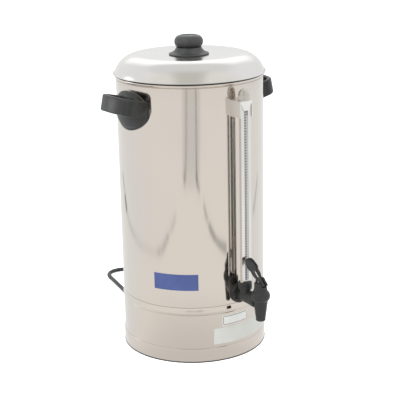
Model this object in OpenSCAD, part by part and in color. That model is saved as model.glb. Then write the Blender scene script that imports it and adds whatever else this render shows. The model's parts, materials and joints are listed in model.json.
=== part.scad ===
// Percolating coffee urn: steel tank and lid, heated base, tap with a cam lever, sight gauge,
// two handles, a coffee basket that lifts out on its pump tube, and a coiled mains lead.
// Millimetres, +Z up. The origin is on the urn's axis at the table. The tap faces -Y, the
// handles stand out along X, and the mains lead leaves along +Y.

/* [Tank] */
// Outside diameter of the tank and the base skirt
body_d = 220; // [210:1:240]
// Height of the rim above the table
rim_h = 422; // [400:1:460]
// Height of the seam between the tank and the base skirt
seam_h = 88; // [86:1:92]
// Thickness of the steel sheet
sheet = 1; // [0.8:0.1:1.2]
// Radius of the rolled bead round the rim
rim_bead = 2.4; // [2:0.1:2.8]
// How far the rim bead stands proud of the wall
rim_proud = 1; // [0.6:0.1:1.4]
// Drop of the tank floor below the seam
floor_drop = 6; // [5:0.5:7]
// Inside radius of the heater well
well_r = 26; // [24:0.5:28]
// Depth of the heater well below the tank floor
well_depth = 9; // [7:0.5:11]

/* [Base] */
// Clearance under the skirt
skirt_foot = 1.5; // [1:0.25:3]
// Height of the skirt's lower bead
skirt_bead_h = 22.7; // [18:0.5:30]
// Depth of the swaged shoulder below the seam
swage_h = 7.6; // [6:0.2:8]
// Height of the base plate's underside
plate_h = 8; // [7:0.5:10]
// Thickness of the base plate
plate_t = 1.2; // [1:0.1:1.6]
// Middle radius of the rubber foot ring
foot_ring_r = 92; // [88:1:94]
// Width of the rubber foot ring
foot_ring_w = 12; // [8:1:14]
// Ring radius of the three studs that hold the base plate
stud_ring = 72; // [70:0.5:74]
// Radius of a base plate stud
stud_r = 2.5; // [2:0.5:3]
// Number of ventilation slots in the base plate
vent_count = 12; // [6:1:18]

/* [Heating] */
// Radius of the pump heater
pump_heater_r = 24; // [20:0.5:25]
// Thickness of the pump heater
pump_heater_h = 11; // [8:0.5:12]
// Ring radius of the keep-warm heater
warm_ring_r = 58; // [57:0.5:60]
// Radius of the keep-warm heater's tube
warm_tube_r = 3.25; // [2.5:0.25:3.75]
// Width of the heater clamp bar
clamp_w = 14; // [12:1:18]
// Distance of the thermostats from the axis
stat_ring = 41; // [39:0.5:43]

/* [Lid] */
// How far the lid's rolled edge stands out past the tank wall
lid_overhang = 3.9; // [3.5:0.1:5]
// Height of the lid's crest above the tank rim
lid_rise = 29; // [26:1:34]
// Radius of the lid's shoulder in profile
lid_shoulder = 36; // [30:1:38]
// Drop of the lid's middle below its crest
lid_dish = 4; // [1:0.5:5]
// Depth of the ring that locates the lid in the tank
lid_ring_h = 11; // [8:1:16]
// Radius of the knob's flange
knob_flange_r = 29.9; // [26:0.5:34]
// Largest radius of the knob's button
knob_r = 21.5; // [20:0.5:24]
// Height of the knob
knob_h = 28.6; // [28:0.2:34]

/* [Handles] */
// Drop of a handle's middle below the rim
handle_drop = 43; // [40:1:60]
// Half width of a handle's base
handle_half_w = 40; // [38:0.5:44]
// Half height of a handle's base
handle_half_h = 28.7; // [26:0.5:32]
// How far the grip stands out from the tank
grip_out = 33; // [30:0.5:40]
// Thickness of the grip
grip_t = 7; // [5:0.5:8]
// Height of the grip
grip_h = 24.5; // [20:0.5:26]
// Upward tilt of the grip
grip_tilt = 13; // [6:1:15]

/* [Sight gauge] */
// Distance of the gauge tube's axis from the tank wall
gauge_gap = 16; // [15.5:0.5:18]
// Outside radius of the gauge tube
gauge_tube_r = 3.5; // [3:0.1:3.6]
// Drop of the gauge bracket's top below the rim
gauge_drop = 25; // [20:1:40]
// Width of the gauge guard
guard_w = 18; // [16:0.5:18.5]
// Width of the slot in the gauge guard
guard_slot = 6.7; // [5:0.1:7.5]
// Width of the gauge bracket
bracket_w = 21.5; // [21.5:0.5:24]
// Height of the gauge bracket
bracket_h = 24; // [20:1:30]
// Height of the vent cap
cap_h = 15.8; // [13:0.2:18]

/* [Tap] */
// Height of the tap shank's axis above the seam
shank_rise = 15; // [14.5:0.5:22]
// Distance of the tap's spout from the tank wall
tap_reach = 51; // [50.5:0.5:56]
// Radius of the shank's thread
thread_r = 8; // [7:0.5:9]
// Largest radius of the tap body's bulb
bulb_r = 14.1; // [13.5:0.1:15.5]
// Length of the spout below the shank's axis
spout_drop = 28; // [24:0.5:34]
// Radius of the spout's end
spout_r = 6.8; // [6:0.1:7.5]
// Radius of the valve stem
stem_r = 2.05; // [1.8:0.05:2.2]
// Lean of the closed lever from upright, towards the tank
lever_lean = 45; // [40:1:48]
// Length of the lever from its pivot to its tip
lever_l = 39.5; // [36:0.5:40]
// Width of the lever's paddle
paddle_w = 16.5; // [14:0.5:20]
// Angle through which the lever opens the tap
open_angle = 50; // [30:1:60]
// Lift of the valve stem at full opening
stem_lift = 4; // [2:0.25:4.5]

/* [Percolator] */
// Outside radius of the pump tube
pump_tube_r = 4.5; // [4:0.25:5.5]
// Inside radius of the coffee basket
basket_r = 62; // [50:1:75]
// Height of the coffee basket
basket_h = 78; // [60:1:90]
// Height of the basket's floor above the tank floor
basket_floor_h = 235; // [200:1:245]
// Number of rings of holes in the basket's floor
hole_rings = 4; // [2:1:5]
// Radius of a hole in the basket's floor and cover
hole_r = 1.2; // [0.8:0.1:1.5]

/* [Mains lead] */
// Diameter of the mains lead
lead_d = 7; // [6:0.5:8]
// Height of the lead's gland above the table
gland_h = 42; // [36:1:50]
// Length of the tapered strain relief
relief_l = 36; // [25:1:50]
// Radius of the coil at the middle of its turns
coil_mid_r = 38.5; // [37:0.5:42]

/* [Hidden] */

$fn = 96;
eps = 0.01;         // overlap that joins pieces of one solid
slip = 0.05;        // radial clearance of a running fit
loose = 0.3;        // clearance between pieces that move apart
body_r = body_d / 2;
wall_in = body_r - sheet;

// Tank and base heights
spigot_r = wall_in - slip;
floor_z = seam_h - floor_drop;
floor_under = floor_z - sheet;
floor_corner = 5;
well_z = floor_z - well_depth;
well_under = well_z - sheet;
swage_r = 12;
swage_proud = 0.5;
seam_gap = 0.3;
groove_r = 0.45;
band_proud = 1;
hem_r = 1.1;
skirt_shelf = 8;
plate_top = plate_h + plate_t;
plate_r = wall_in - 0.5;
foot_pegs = 6;
foot_neck_r = 3;
foot_barb_r = 4;
foot_barb_h = 3.5;
nut_h = 4;

// Heating
warm_z = floor_under - warm_tube_r;
warm_under = floor_under - 2 * warm_tube_r;
warm_gap_angle = 40;
warm_leg_l = 12;
clamp_t = 1.5;
small_nut = 7;           // across the flats
small_nut_h = 3.2;
clamp_stud_r = 2;
clamp_stud_x = 45;
pump_heater_z = well_under - pump_heater_h;
heater_tab_y = 15;
tab_w = 6.3;
tab_t = 0.8;
tab_l = 8;
stat_tab_pitch = 4;
stat_r = 8;
stat_h = 9;
cutout_r = 7;
block_l = 34;
block_w = 18;
block_h = 14;
block_y = body_r - 32;
block_pitch = 10;
block_entry_h = 5;
collar_l = 1.5;
wire_r = 1.5;

// Lid
lid_t = 0.8;
lid_roll = 1.3;
lid_r = body_r + lid_overhang;
lid_z = rim_h + loose;
lid_crest_z = rim_h + lid_rise;
lid_shoulder_r = lid_r - lid_roll + lid_t / 2 - lid_shoulder;
lid_shoulder_z = lid_crest_z - lid_shoulder;
lid_mid_z = lid_crest_z - lid_dish;
rim_inner_r = body_r + rim_proud - 2 * rim_bead;
lid_ring_r = rim_inner_r - 0.9;
knob_seat_z = lid_mid_z + lid_dish * knob_flange_r / lid_shoulder_r;
knob_top_z = knob_seat_z + knob_h;
knob_roll = 9.5;
knob_screw_r = 2.5;

// Handles
handle_z = rim_h - handle_drop;
handle_lip = 3;
handle_end_r = 20;
dome_out = 8;
dome_sphere_r = 85;
dome_inset = 3.5;
grip_z = handle_z + 5;
grip_bow_r = 105;
grip_corner_r = 18;
bow_lap = 0.4;      // degrees by which the bow runs into each corner
leg_lap = 0.5;
grip_slim = 0.3;
grip_edge_r = 2.8;
grip_half_w = handle_half_w - 0.5;
screw_pitch = 13;
handle_screw_r = 2;
handle_washer_r = 6;
handle_washer_t = 1;
handle_washer_x = sqrt(wall_in * wall_in - handle_washer_r * handle_washer_r);
screw_head_r = 4;

// Sight gauge
gauge_out = body_r + gauge_gap;
guard_t = 0.8;
guard_face = gauge_tube_r + guard_t + loose;
guard_depth = 5;
guard_front = gauge_out + guard_face;
bracket_t = 1.2;
bracket_top = rim_h - gauge_drop;
bracket_front = guard_front + bracket_t;
tongue_h = 14;
guard_top = bracket_top - bracket_t - 2;
grommet_r = gauge_tube_r + 1;
grommet_h = 6;
cap_r = 8.1;
cap_flutes = 24;
gauge_tube_t = 1.1;
bracket_screw_r = 2;
bracket_screw_z = bracket_top - bracket_h / 2 - 2;

// Tap
tap_out = body_r + tap_reach;
shank_z = seam_h + shank_rise;
shank_bore_r = 4;
shank_in = wall_in - 12;
seal_t = 2.5;
inner_seal_t = 3.5;
flange_t = 3;
flange_r = 14;
shank_nut = 22;          // across the flats
shank_nut_h = 5;
barrel_end = tap_out - 14;
barrel_r1 = 8.8;
barrel_r2 = 10.4;
spigot_len = 6;
tap_spigot_r = 7;
boss_r = 8.5;
boss_top = shank_z + 16.5;
gauge_seal_h = 3.5;
gauge_nut_r = 10.25;
gauge_nut_z = shank_z + 11.8;
gauge_nut_top = shank_z + 23;
gauge_nut_flutes = 18;
bulb_z = shank_z + 10;
bulb_roll = 10;
bulb_top = shank_z + 20.7;
bulb_neck_r = 9.9;
chamber_r = 8.5;
seat_z = shank_z - 4.2;
outlet_r = 4.6;
bonnet_r = 9.4;
bonnet_top = bulb_top + 10.3;
bonnet_skirt = 7.7;
land_z = bulb_top + 4.3;
pocket_r = 6.2;
pocket_top = bulb_top - 0.7;
hub_w = 9;
hub_gap = 2.9;
tongue_t = 2.6;
eye_r = 2.5;
pin_r = 1.25;
cam_gap = 0.1;
pivot_rise = 7;
pivot_z = land_z + pivot_rise;
lift_per_rad = stem_lift / (open_angle * PI / 180);
lever_t = 4;
rail_w = 12.5;
rail_slot = 5;
cup_r = 7.2;
cup_top = shank_z + 4.2;
seat_gap = 0.15;
stem_low = shank_z - 1;
spring_mid_r = 5.2;
spring_wire_r = 0.5;
spring_turns = 5;

// Percolator
foot_bell_r = well_r - 2;
bell_h = 16;
tube_wall = 0.8;
basket_z = floor_z + basket_floor_h;
basket_t = 0.8;
basket_rim = 3;
basket_post_h = basket_h + 4;
basket_post_r = pump_tube_r + 1.8;
collar_h = 6;
pump_tube_top = basket_z + basket_post_h + 12;
cover_z = basket_z + basket_h;
cover_dish = 6;
first_hole_ring = 16;
hole_pitch = 8.5;

// Mains lead: the route's own points, from the strain relief's end to the coil
lead_r = lead_d / 2;
flange_out = 2.5;
relief_tip_r = 4.6;
relief_root_r = 6.6;
gland_neck_r = 6;
gland_in = wall_in - 3;
lead_start_y = body_r + flange_out + relief_l;
tie_t = 0.8;
tie_w = 8;
coil_lift = tie_t + loose;
lead_low = lead_r + 0.1;
// Each point: x, how far past the strain relief, and height as a share of the gland's height
lead_steps = [
  [0, 0, 1], [0, 6, 1], [1, 14, 0.97], [2, 23, 0.89], [4, 33, 0.74], [6, 43, 0.53],
  [9, 54, 0.3], [12, 65, 0.12], [16, 76, 0.02], [20, 89, 0], [24, 104, 0], [28, 120, 0],
  [32, 136, 0], [35, 149, 0], [38, 158, 0], [44, 168, 0], [52, 174, 0],
  [62, 176, 0], [72, 174, 0], [82, 169, 0], [93, 161, 0], [105, 150, 0],
  [118, 134, 0], [131, 114, 0], [143, 95, 0], [157, 76, 0.01], [172, 60, 0.02]
];
lead_route = [for (p = lead_steps) [p[0], lead_start_y + p[1], lead_low + (gland_h - lead_low) * p[2]]];
coil_at = [144, lead_start_y + 29.5];
coil_half = lead_d + 0.1;
tail_z = coil_lift + 2 * coil_half - lead_r - 0.1;
tail_steps = [[-25, -33], [-33, -27], [-41, -21], [-49, -15], [-57, -9]];
tail_route = [for (p = tail_steps) [coil_at[0] + p[0], coil_at[1] + p[1], tail_z]];
tail_angle = atan2(6, -8);
plug_at = tail_route[len(tail_route) - 1];
plug_l = 34;
plug_w = 26;
plug_t = 21;
plug_neck_l = 14;
pin_l = 17;

// ---------------------------------------------------------------- shared shapes

// Points along an arc, from angle a0 to a1
function arc(cx, cy, r, a0, a1, n) =
  [for (i = [0:n]) let(a = a0 + (a1 - a0) * i / n) [cx + r * cos(a), cy + r * sin(a)]];

function unit(v) = v / norm(v);

// Direction of a route at its point i
function heading(p, i) =
  unit((i < len(p) - 1 ? p[i + 1] : p[i]) - (i > 0 ? p[i - 1] : p[i]));

// Ring of points round a route's point i, across its heading
function ring(p, i, r, sides) =
  let(
    t = heading(p, i),
    a = abs(t[2]) > 0.9 ? [0, 1, 0] : [0, 0, 1],
    u = unit(cross(a, t)),
    v = cross(t, u)
  )
  [for (k = [0:sides - 1]) let(q = 360 * k / sides) p[i] + r * cos(q) * u + r * sin(q) * v];

// Tube swept along a route, closed at both ends
module swept_tube(route, r, sides) {
  n = len(route);
  polyhedron(
    points = [for (i = [0:n - 1]) each ring(route, i, r, sides)],
    faces = concat(
      [[for (k = [0:sides - 1]) k]],
      [for (i = [0:n - 2]) for (k = [0:sides - 1])
        let(a = i * sides, b = a + sides, m = (k + 1) % sides)
        each [[a + k, b + k, b + m], [a + k, b + m, a + m]]],
      [[for (k = [sides - 1:-1:0]) (n - 1) * sides + k]]
    )
  );
}

// Rounded rectangle about the origin, with true round corners
module round_rect(w, h, r) {
  square([w - 2 * r, h], center = true);
  square([w, h - 2 * r], center = true);
  for (x = [-1, 1], y = [-1, 1]) translate([x * (w / 2 - r), y * (h / 2 - r)]) circle(r, $fn = 32);
}

// Four-centred oval of half width a and half height b, with end radius e
module oval(a, b, e) {
  big = ((a - e) * (a - e) + b * b - e * e) / (2 * (b - e));
  touch_x = (a - e) * big / (big - e);
  intersection() {
    translate([0, b - big]) circle(big, $fn = 180);
    translate([0, big - b]) circle(big, $fn = 180);
    square([2 * touch_x, 3 * b], center = true);
  }
  for (x = [-1, 1]) translate([x * (a - e), 0]) circle(e);
}

// Hexagon nut with a round bore, its base at z = 0
module hex_nut(across, h, bore_r) {
  difference() {
    cylinder(r = across / sqrt(3), h = h, $fn = 6);
    translate([0, 0, -1]) cylinder(r = bore_r, h = h + 2, $fn = 32);
  }
}

// Turns a part drawn with +X pointing away from the tank so that it faces the tap's side
module tap_side() {
  rotate([0, 0, -90]) children();
}

// Cylinder along X, from x0 to x1, at height z
module bar_x(r, x0, x1, z) {
  translate([x0, 0, z]) rotate([0, 90, 0]) cylinder(r = r, h = x1 - x0);
}

// ---------------------------------------------------------------- tank and base

module tank() {
  color("gainsboro") difference() {
    rotate_extrude($fn = 180) {
      translate([0, well_under]) square([well_r + sheet, sheet]);
      translate([well_r, well_under]) square([sheet, floor_z - well_under]);
      translate([well_r, floor_under]) square([spigot_r - floor_corner - well_r, sheet]);
      translate([spigot_r - floor_corner, floor_under + floor_corner]) intersection() {
        difference() {
          circle(floor_corner);
          circle(floor_corner - sheet);
        }
        translate([0, -floor_corner]) square(floor_corner);
      }
      translate([spigot_r - sheet, floor_under + floor_corner])
        square([sheet, seam_h - floor_under - floor_corner + sheet]);
      translate([spigot_r - sheet, seam_h]) square([2 * sheet, sheet]);
      translate([wall_in, seam_h]) square([sheet, rim_h - rim_bead - seam_h]);
      translate([body_r + rim_proud - rim_bead, rim_h - rim_bead]) circle(rim_bead, $fn = 48);
    }
    tap_side() {
      bar_x(thread_r + slip, wall_in - 10, body_r + 10, shank_z);
      bar_x(bracket_screw_r + slip, wall_in - 10, body_r + 10, bracket_screw_z);
    }
    for (side = [0, 180], z = [-1, 1]) rotate([0, 0, side])
      bar_x(handle_screw_r + slip, wall_in - 10, body_r + 10, handle_z + z * screw_pitch);
  }
}

module base_skirt() {
  color("gainsboro") difference() {
    rotate_extrude($fn = 180) {
      // wall between the lower bead and the shoulder
      translate([wall_in, skirt_bead_h - band_proud])
        square([sheet, seam_h - seam_gap - skirt_bead_h + band_proud]);
      // swaged shoulder under the seam
      intersection() {
        translate([body_r + swage_proud - swage_r, seam_h - swage_h / 2]) circle(swage_r, $fn = 180);
        translate([wall_in, seam_h - swage_h]) square([2 * sheet, swage_h - seam_gap]);
      }
      // wider band below the bead, with a rolled hem
      translate([wall_in, skirt_foot + hem_r])
        square([sheet + band_proud, skirt_bead_h - skirt_foot - hem_r - band_proud]);
      translate([body_r, skirt_bead_h - band_proud]) circle(band_proud, $fn = 32);
      translate([body_r + band_proud - hem_r, skirt_foot + hem_r]) circle(hem_r, $fn = 32);
      // shelf that the base plate clamps against
      translate([wall_in - skirt_shelf, plate_top]) square([skirt_shelf + eps, sheet]);
    }
    rotate_extrude($fn = 180) translate([body_r, seam_h - swage_h]) circle(groove_r, $fn = 32);
    translate([0, body_r, gland_h]) rotate([90, 0, 0])
      cylinder(r = gland_neck_r + slip, h = 12, center = true);
  }
}

module base_plate() {
  color("silver") translate([0, 0, plate_h]) difference() {
    cylinder(r = plate_r, h = plate_t, $fn = 180);
    for (i = [0:foot_pegs - 1]) rotate([0, 0, 360 * i / foot_pegs]) translate([foot_ring_r, 0, -1])
      cylinder(r = foot_neck_r, h = plate_t + 2, $fn = 32);
    for (i = [0:2]) rotate([0, 0, 30 + 120 * i]) translate([stud_ring, 0, -1])
      cylinder(r = stud_r + slip, h = plate_t + 2, $fn = 32);
    for (i = [0:vent_count - 1]) rotate([0, 0, 360 * i / vent_count]) {
      translate([28, -1.5, -1]) cube([18, 3, plate_t + 2]);
      for (x = [28, 46]) translate([x, 0, -1]) cylinder(r = 1.5, h = plate_t + 2, $fn = 24);
    }
  }
}

// One-piece rubber foot, held in the base plate by barbed pegs
module rubber_foot() {
  half = foot_ring_w / 2;
  color("dimgray") {
    rotate_extrude($fn = 120) polygon([
      [foot_ring_r - half + 1.5, 0], [foot_ring_r + half - 1.5, 0],
      [foot_ring_r + half, plate_h], [foot_ring_r - half, plate_h]
    ]);
    for (i = [0:foot_pegs - 1]) rotate([0, 0, 360 * i / foot_pegs]) translate([foot_ring_r, 0, 0]) {
      translate([0, 0, plate_h - eps]) cylinder(r = foot_neck_r, h = plate_t + 2 * eps, $fn = 32);
      translate([0, 0, plate_top])
        cylinder(r1 = foot_barb_r, r2 = foot_neck_r - 0.5, h = foot_barb_h, $fn = 32);
    }
  }
}

// Studs welded under the tank floor: three for the base plate, two for the heater clamp
module tank_studs() {
  base_stud_low = plate_h - nut_h - 0.8;
  clamp_stud_low = warm_under - clamp_t - small_nut_h - 2.8;
  color("darkgray") {
    for (i = [0:2]) rotate([0, 0, 30 + 120 * i]) translate([stud_ring, 0, base_stud_low])
      cylinder(r = stud_r, h = floor_under - base_stud_low, $fn = 32);
    for (x = [-1, 1]) translate([x * clamp_stud_x, 0, clamp_stud_low])
      cylinder(r = clamp_stud_r, h = floor_under - clamp_stud_low, $fn = 32);
  }
}

module base_nuts() {
  color("darkgray") for (i = [0:2]) rotate([0, 0, 30 + 120 * i]) translate([stud_ring, 0, plate_h - nut_h])
    hex_nut(3.2 * stud_r, nut_h, stud_r + slip);
}

// ---------------------------------------------------------------- heating

// Two blade terminals hanging from z, side by side along Y
module blade_pair(gap, z) {
  for (y = [-1, 1]) translate([-tab_t / 2, y * gap / 2 - tab_w / 2, z - tab_l])
    cube([tab_t, tab_w, tab_l + eps]);
}

module pump_heater() {
  color("lightgray") {
    translate([0, 0, pump_heater_z]) difference() {
      cylinder(r = pump_heater_r, h = pump_heater_h);
      // groove round the cast plate
      rotate_extrude() translate([pump_heater_r, pump_heater_h / 2]) circle(1.6, $fn = 32);
    }
    for (y = [-1, 1]) translate([0, y * heater_tab_y, pump_heater_z - 2])
      cylinder(r = 4.5, h = 2 + eps, $fn = 32);
    blade_pair(2 * heater_tab_y, pump_heater_z - 2);
  }
}

module keep_warm_heater() {
  color("darkslategray") rotate([0, 0, 90 + warm_gap_angle / 2])
    rotate_extrude(angle = 360 - warm_gap_angle, $fn = 120) translate([warm_ring_r, warm_z])
      circle(warm_tube_r, $fn = 48);
  color("silver") for (s = [-1, 1]) rotate([0, 0, 90 + s * (warm_gap_angle / 2 + 1.5)])
    translate([warm_ring_r, 0, warm_z - warm_leg_l]) cylinder(r = warm_tube_r / 2, h = warm_leg_l, $fn = 24);
}

// Bar across the tank floor that holds both heaters up against it
module heater_clamp() {
  mid_half = pump_heater_r - 14;
  step_in = pump_heater_r + 3;
  step_out = step_in + 4;
  end_x = warm_ring_r + 8;
  low = pump_heater_z;
  high = warm_under;
  color("silver") difference() {
    rotate([90, 0, 0]) linear_extrude(clamp_w, center = true) polygon([
      [-end_x, high], [-step_out, high], [-step_in, low], [step_in, low], [step_out, high], [end_x, high],
      [end_x, high - clamp_t], [step_out + 1, high - clamp_t], [step_in + 1, low - clamp_t],
      [-step_in - 1, low - clamp_t], [-step_out - 1, high - clamp_t], [-end_x, high - clamp_t]
    ]);
    for (x = [-1, 1]) translate([x * clamp_stud_x, 0, high - clamp_t - 1])
      cylinder(r = clamp_stud_r + slip, h = clamp_t + 2, $fn = 32);
    translate([0, 0, low - clamp_t - 1]) cylinder(r = mid_half / 2, h = clamp_t + 2, $fn = 32);
  }
}

module clamp_nuts() {
  color("darkgray") for (x = [-1, 1]) translate([x * clamp_stud_x, 0, warm_under - clamp_t - small_nut_h])
    hex_nut(small_nut, small_nut_h, clamp_stud_r + slip);
}

// Disc thermostat of radius r, its face against the tank floor
module disc_stat(r) {
  translate([0, 0, floor_under - stat_h]) cylinder(r = r, h = stat_h, $fn = 48);
  difference() {
    translate([0, 0, floor_under - 1]) rotate([0, 0, 90]) linear_extrude(1) round_rect(24, 9, 3);
    for (y = [-1, 1]) translate([0, y * 10, floor_under - 2]) cylinder(r = 1.4, h = 3, $fn = 24);
  }
  for (y = [-1, 1]) translate([-tab_w / 2, y * stat_tab_pitch - tab_t / 2, floor_under - stat_h - tab_l])
    cube([tab_w, tab_t, tab_l + eps]);
}

module thermostat() {
  color("tan") rotate([0, 0, 90]) translate([stat_ring, 0, 0]) disc_stat(stat_r);
}

module thermal_cutout() {
  color("tan") rotate([0, 0, -90]) translate([stat_ring, 0, 0]) disc_stat(cutout_r);
}

// Block of three poles with a collar at each wire
module terminal_block() {
  color("ivory") translate([0, block_y, plate_top]) difference() {
    union() {
      translate([-block_l / 2, -block_w / 2, 0]) cube([block_l, block_w, block_h]);
      for (i = [-1:1]) translate([i * block_pitch, 0, block_entry_h]) rotate([90, 0, 0])
        cylinder(r = wire_r + 1, h = block_w / 2 + collar_l, $fn = 32);
      translate([0, 0, block_entry_h]) rotate([-90, 0, 0])
        cylinder(r = lead_r + 0.5, h = block_w / 2 + collar_l, $fn = 32);
    }
    for (i = [-1:1]) translate([i * block_pitch, 0, block_h - 4]) cylinder(r = 2.6, h = 5, $fn = 32);
    for (i = [-1, 1]) translate([i * block_pitch / 2, 0, block_h - 3])
      cube([1.6, block_w + 2, 8], center = true);
  }
}

module terminal_screws() {
  screw_z = plate_top + block_h - 4;
  color("goldenrod") for (i = [-1:1]) translate([i * block_pitch, block_y, screw_z]) difference() {
    cylinder(r = 2.5, h = 2.6, $fn = 32);
    translate([0, 0, 2.4]) cube([6, 0.8, 1.2], center = true);
  }
}

// Insulated wires in the base, each from a collar on the block to the tab that it meets
module inner_wiring() {
  block_in = block_y - block_w / 2 - collar_l;
  block_out = block_y + block_w / 2 + collar_l;
  entry_z = plate_top + block_entry_h;
  stat_tab_z = floor_under - stat_h - tab_l;
  heater_tab_z = pump_heater_z - 2 - tab_l;
  color("firebrick") swept_tube([
    [-block_pitch, block_in, entry_z], [-block_pitch, block_in - 4, entry_z],
    [-block_pitch, block_in - 10, entry_z + 4], [-8, stat_ring + 6, entry_z + 16],
    [-stat_tab_pitch, stat_ring, entry_z + 30], [-stat_tab_pitch, stat_ring, stat_tab_z - 6],
    [-stat_tab_pitch, stat_ring, stat_tab_z]
  ], wire_r, 8);
  color("firebrick") swept_tube([
    [stat_tab_pitch, stat_ring, stat_tab_z], [stat_tab_pitch, stat_ring, stat_tab_z - 6],
    [stat_tab_pitch, stat_ring - 6, stat_tab_z - 16], [2, 24, heater_tab_z - 14],
    [0, heater_tab_y, heater_tab_z - 8], [0, heater_tab_y, heater_tab_z]
  ], wire_r, 8);
  color("royalblue") swept_tube([
    [block_pitch, block_in, entry_z], [block_pitch, block_in - 4, entry_z],
    [block_pitch + 2, block_in - 14, entry_z + 3], [16, 30, entry_z + 8],
    [14, 0, entry_z + 12], [6, -10, entry_z + 17],
    [0, -heater_tab_y, heater_tab_z - 8], [0, -heater_tab_y, heater_tab_z]
  ], wire_r, 8);
  color("seagreen") swept_tube([
    [0, block_in, entry_z], [0, block_in - 4, entry_z], [0, block_in - 10, entry_z + 11],
    [-18, 36, entry_z + 34], [-22, 8, warm_under - 20],
    [-26, 4, pump_heater_z - clamp_t - 6], [-26, 4, pump_heater_z - clamp_t]
  ], wire_r, 8);
  color("dimgray") swept_tube([
    [0, block_out, entry_z], [0, block_out + 3, entry_z], [0, block_out + 6.5, entry_z + 5],
    [0, gland_in - 9, gland_h - 8], [0, gland_in - 5, gland_h - 1.5],
    [0, gland_in - 2, gland_h], [0, gland_in, gland_h]
  ], lead_r - 0.5, 8);
}

// ---------------------------------------------------------------- lid

module lid() {
  color("whitesmoke") difference() {
    rotate_extrude($fn = 180) {
      // shoulder
      intersection() {
        translate([lid_shoulder_r, lid_shoulder_z]) difference() {
          circle(lid_shoulder, $fn = 180);
          circle(lid_shoulder - lid_t, $fn = 180);
        }
        translate([lid_shoulder_r, lid_z + lid_t]) square([lid_shoulder + 1, lid_rise + 1]);
      }
      // dished middle
      polygon([
        [0, lid_mid_z - lid_t], [lid_shoulder_r + eps, lid_crest_z - lid_t],
        [lid_shoulder_r + eps, lid_crest_z], [0, lid_mid_z]
      ]);
      // rolled edge, flange and locating ring
      translate([lid_r - lid_roll, lid_z + lid_roll]) circle(lid_roll, $fn = 32);
      translate([lid_ring_r - lid_t, lid_z]) square([lid_r - lid_roll - lid_ring_r + lid_t, lid_t]);
      translate([lid_ring_r - lid_t, lid_z - lid_ring_h]) square([lid_t, lid_ring_h + lid_t]);
    }
    translate([0, 0, lid_mid_z - 5]) cylinder(r = knob_screw_r + slip, h = 10, $fn = 32);
  }
}

module lid_knob() {
  neck_z = knob_seat_z + 9.9;
  color("dimgray") difference() {
    rotate_extrude() {
      // flange with a concave sweep up to the neck
      difference() {
        translate([0, knob_seat_z]) square([knob_flange_r - 1, 11]);
        translate([knob_flange_r + 1.5, knob_seat_z + 15.2]) circle(13.2);
      }
      translate([knob_flange_r - 1.1, knob_seat_z + 1.1]) circle(1.1, $fn = 32);
      // button
      translate([knob_r - knob_roll, knob_top_z - knob_roll]) circle(knob_roll);
      translate([0, neck_z]) square([knob_r - knob_roll, knob_top_z - neck_z]);
      // spigot that centres the knob on the lid
      translate([0, lid_mid_z]) square([9, knob_seat_z - lid_mid_z + eps]);
    }
    // shallow dish in the top
    translate([0, 0, knob_top_z - 0.6]) cylinder(r = knob_r - knob_roll - 1, h = 1);
    // screw hole
    translate([0, 0, lid_mid_z - 1]) cylinder(r = knob_screw_r + slip, h = 16, $fn = 32);
    // the lid's cone under the flange
    rotate_extrude() polygon([
      [0, lid_mid_z], [lid_shoulder_r, lid_crest_z], [lid_shoulder_r, lid_mid_z - 2], [0, lid_mid_z - 2]
    ]);
  }
}

module knob_washer() {
  color("gray") translate([0, 0, lid_mid_z - lid_t - 1]) difference() {
    cylinder(r = 7, h = 1, $fn = 48);
    translate([0, 0, -1]) cylinder(r = knob_screw_r + slip, h = 3, $fn = 32);
  }
}

module knob_screw() {
  head_z = lid_mid_z - lid_t - 1;
  color("silver") {
    translate([0, 0, head_z]) cylinder(r = knob_screw_r, h = 14, $fn = 32);
    translate([0, 0, head_z - 2.6]) difference() {
      cylinder(r = 4.4, h = 2.6, $fn = 48);
      translate([0, 0, 0.4]) cube([10, 1, 1.2], center = true);
    }
  }
}

// ---------------------------------------------------------------- handles

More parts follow.
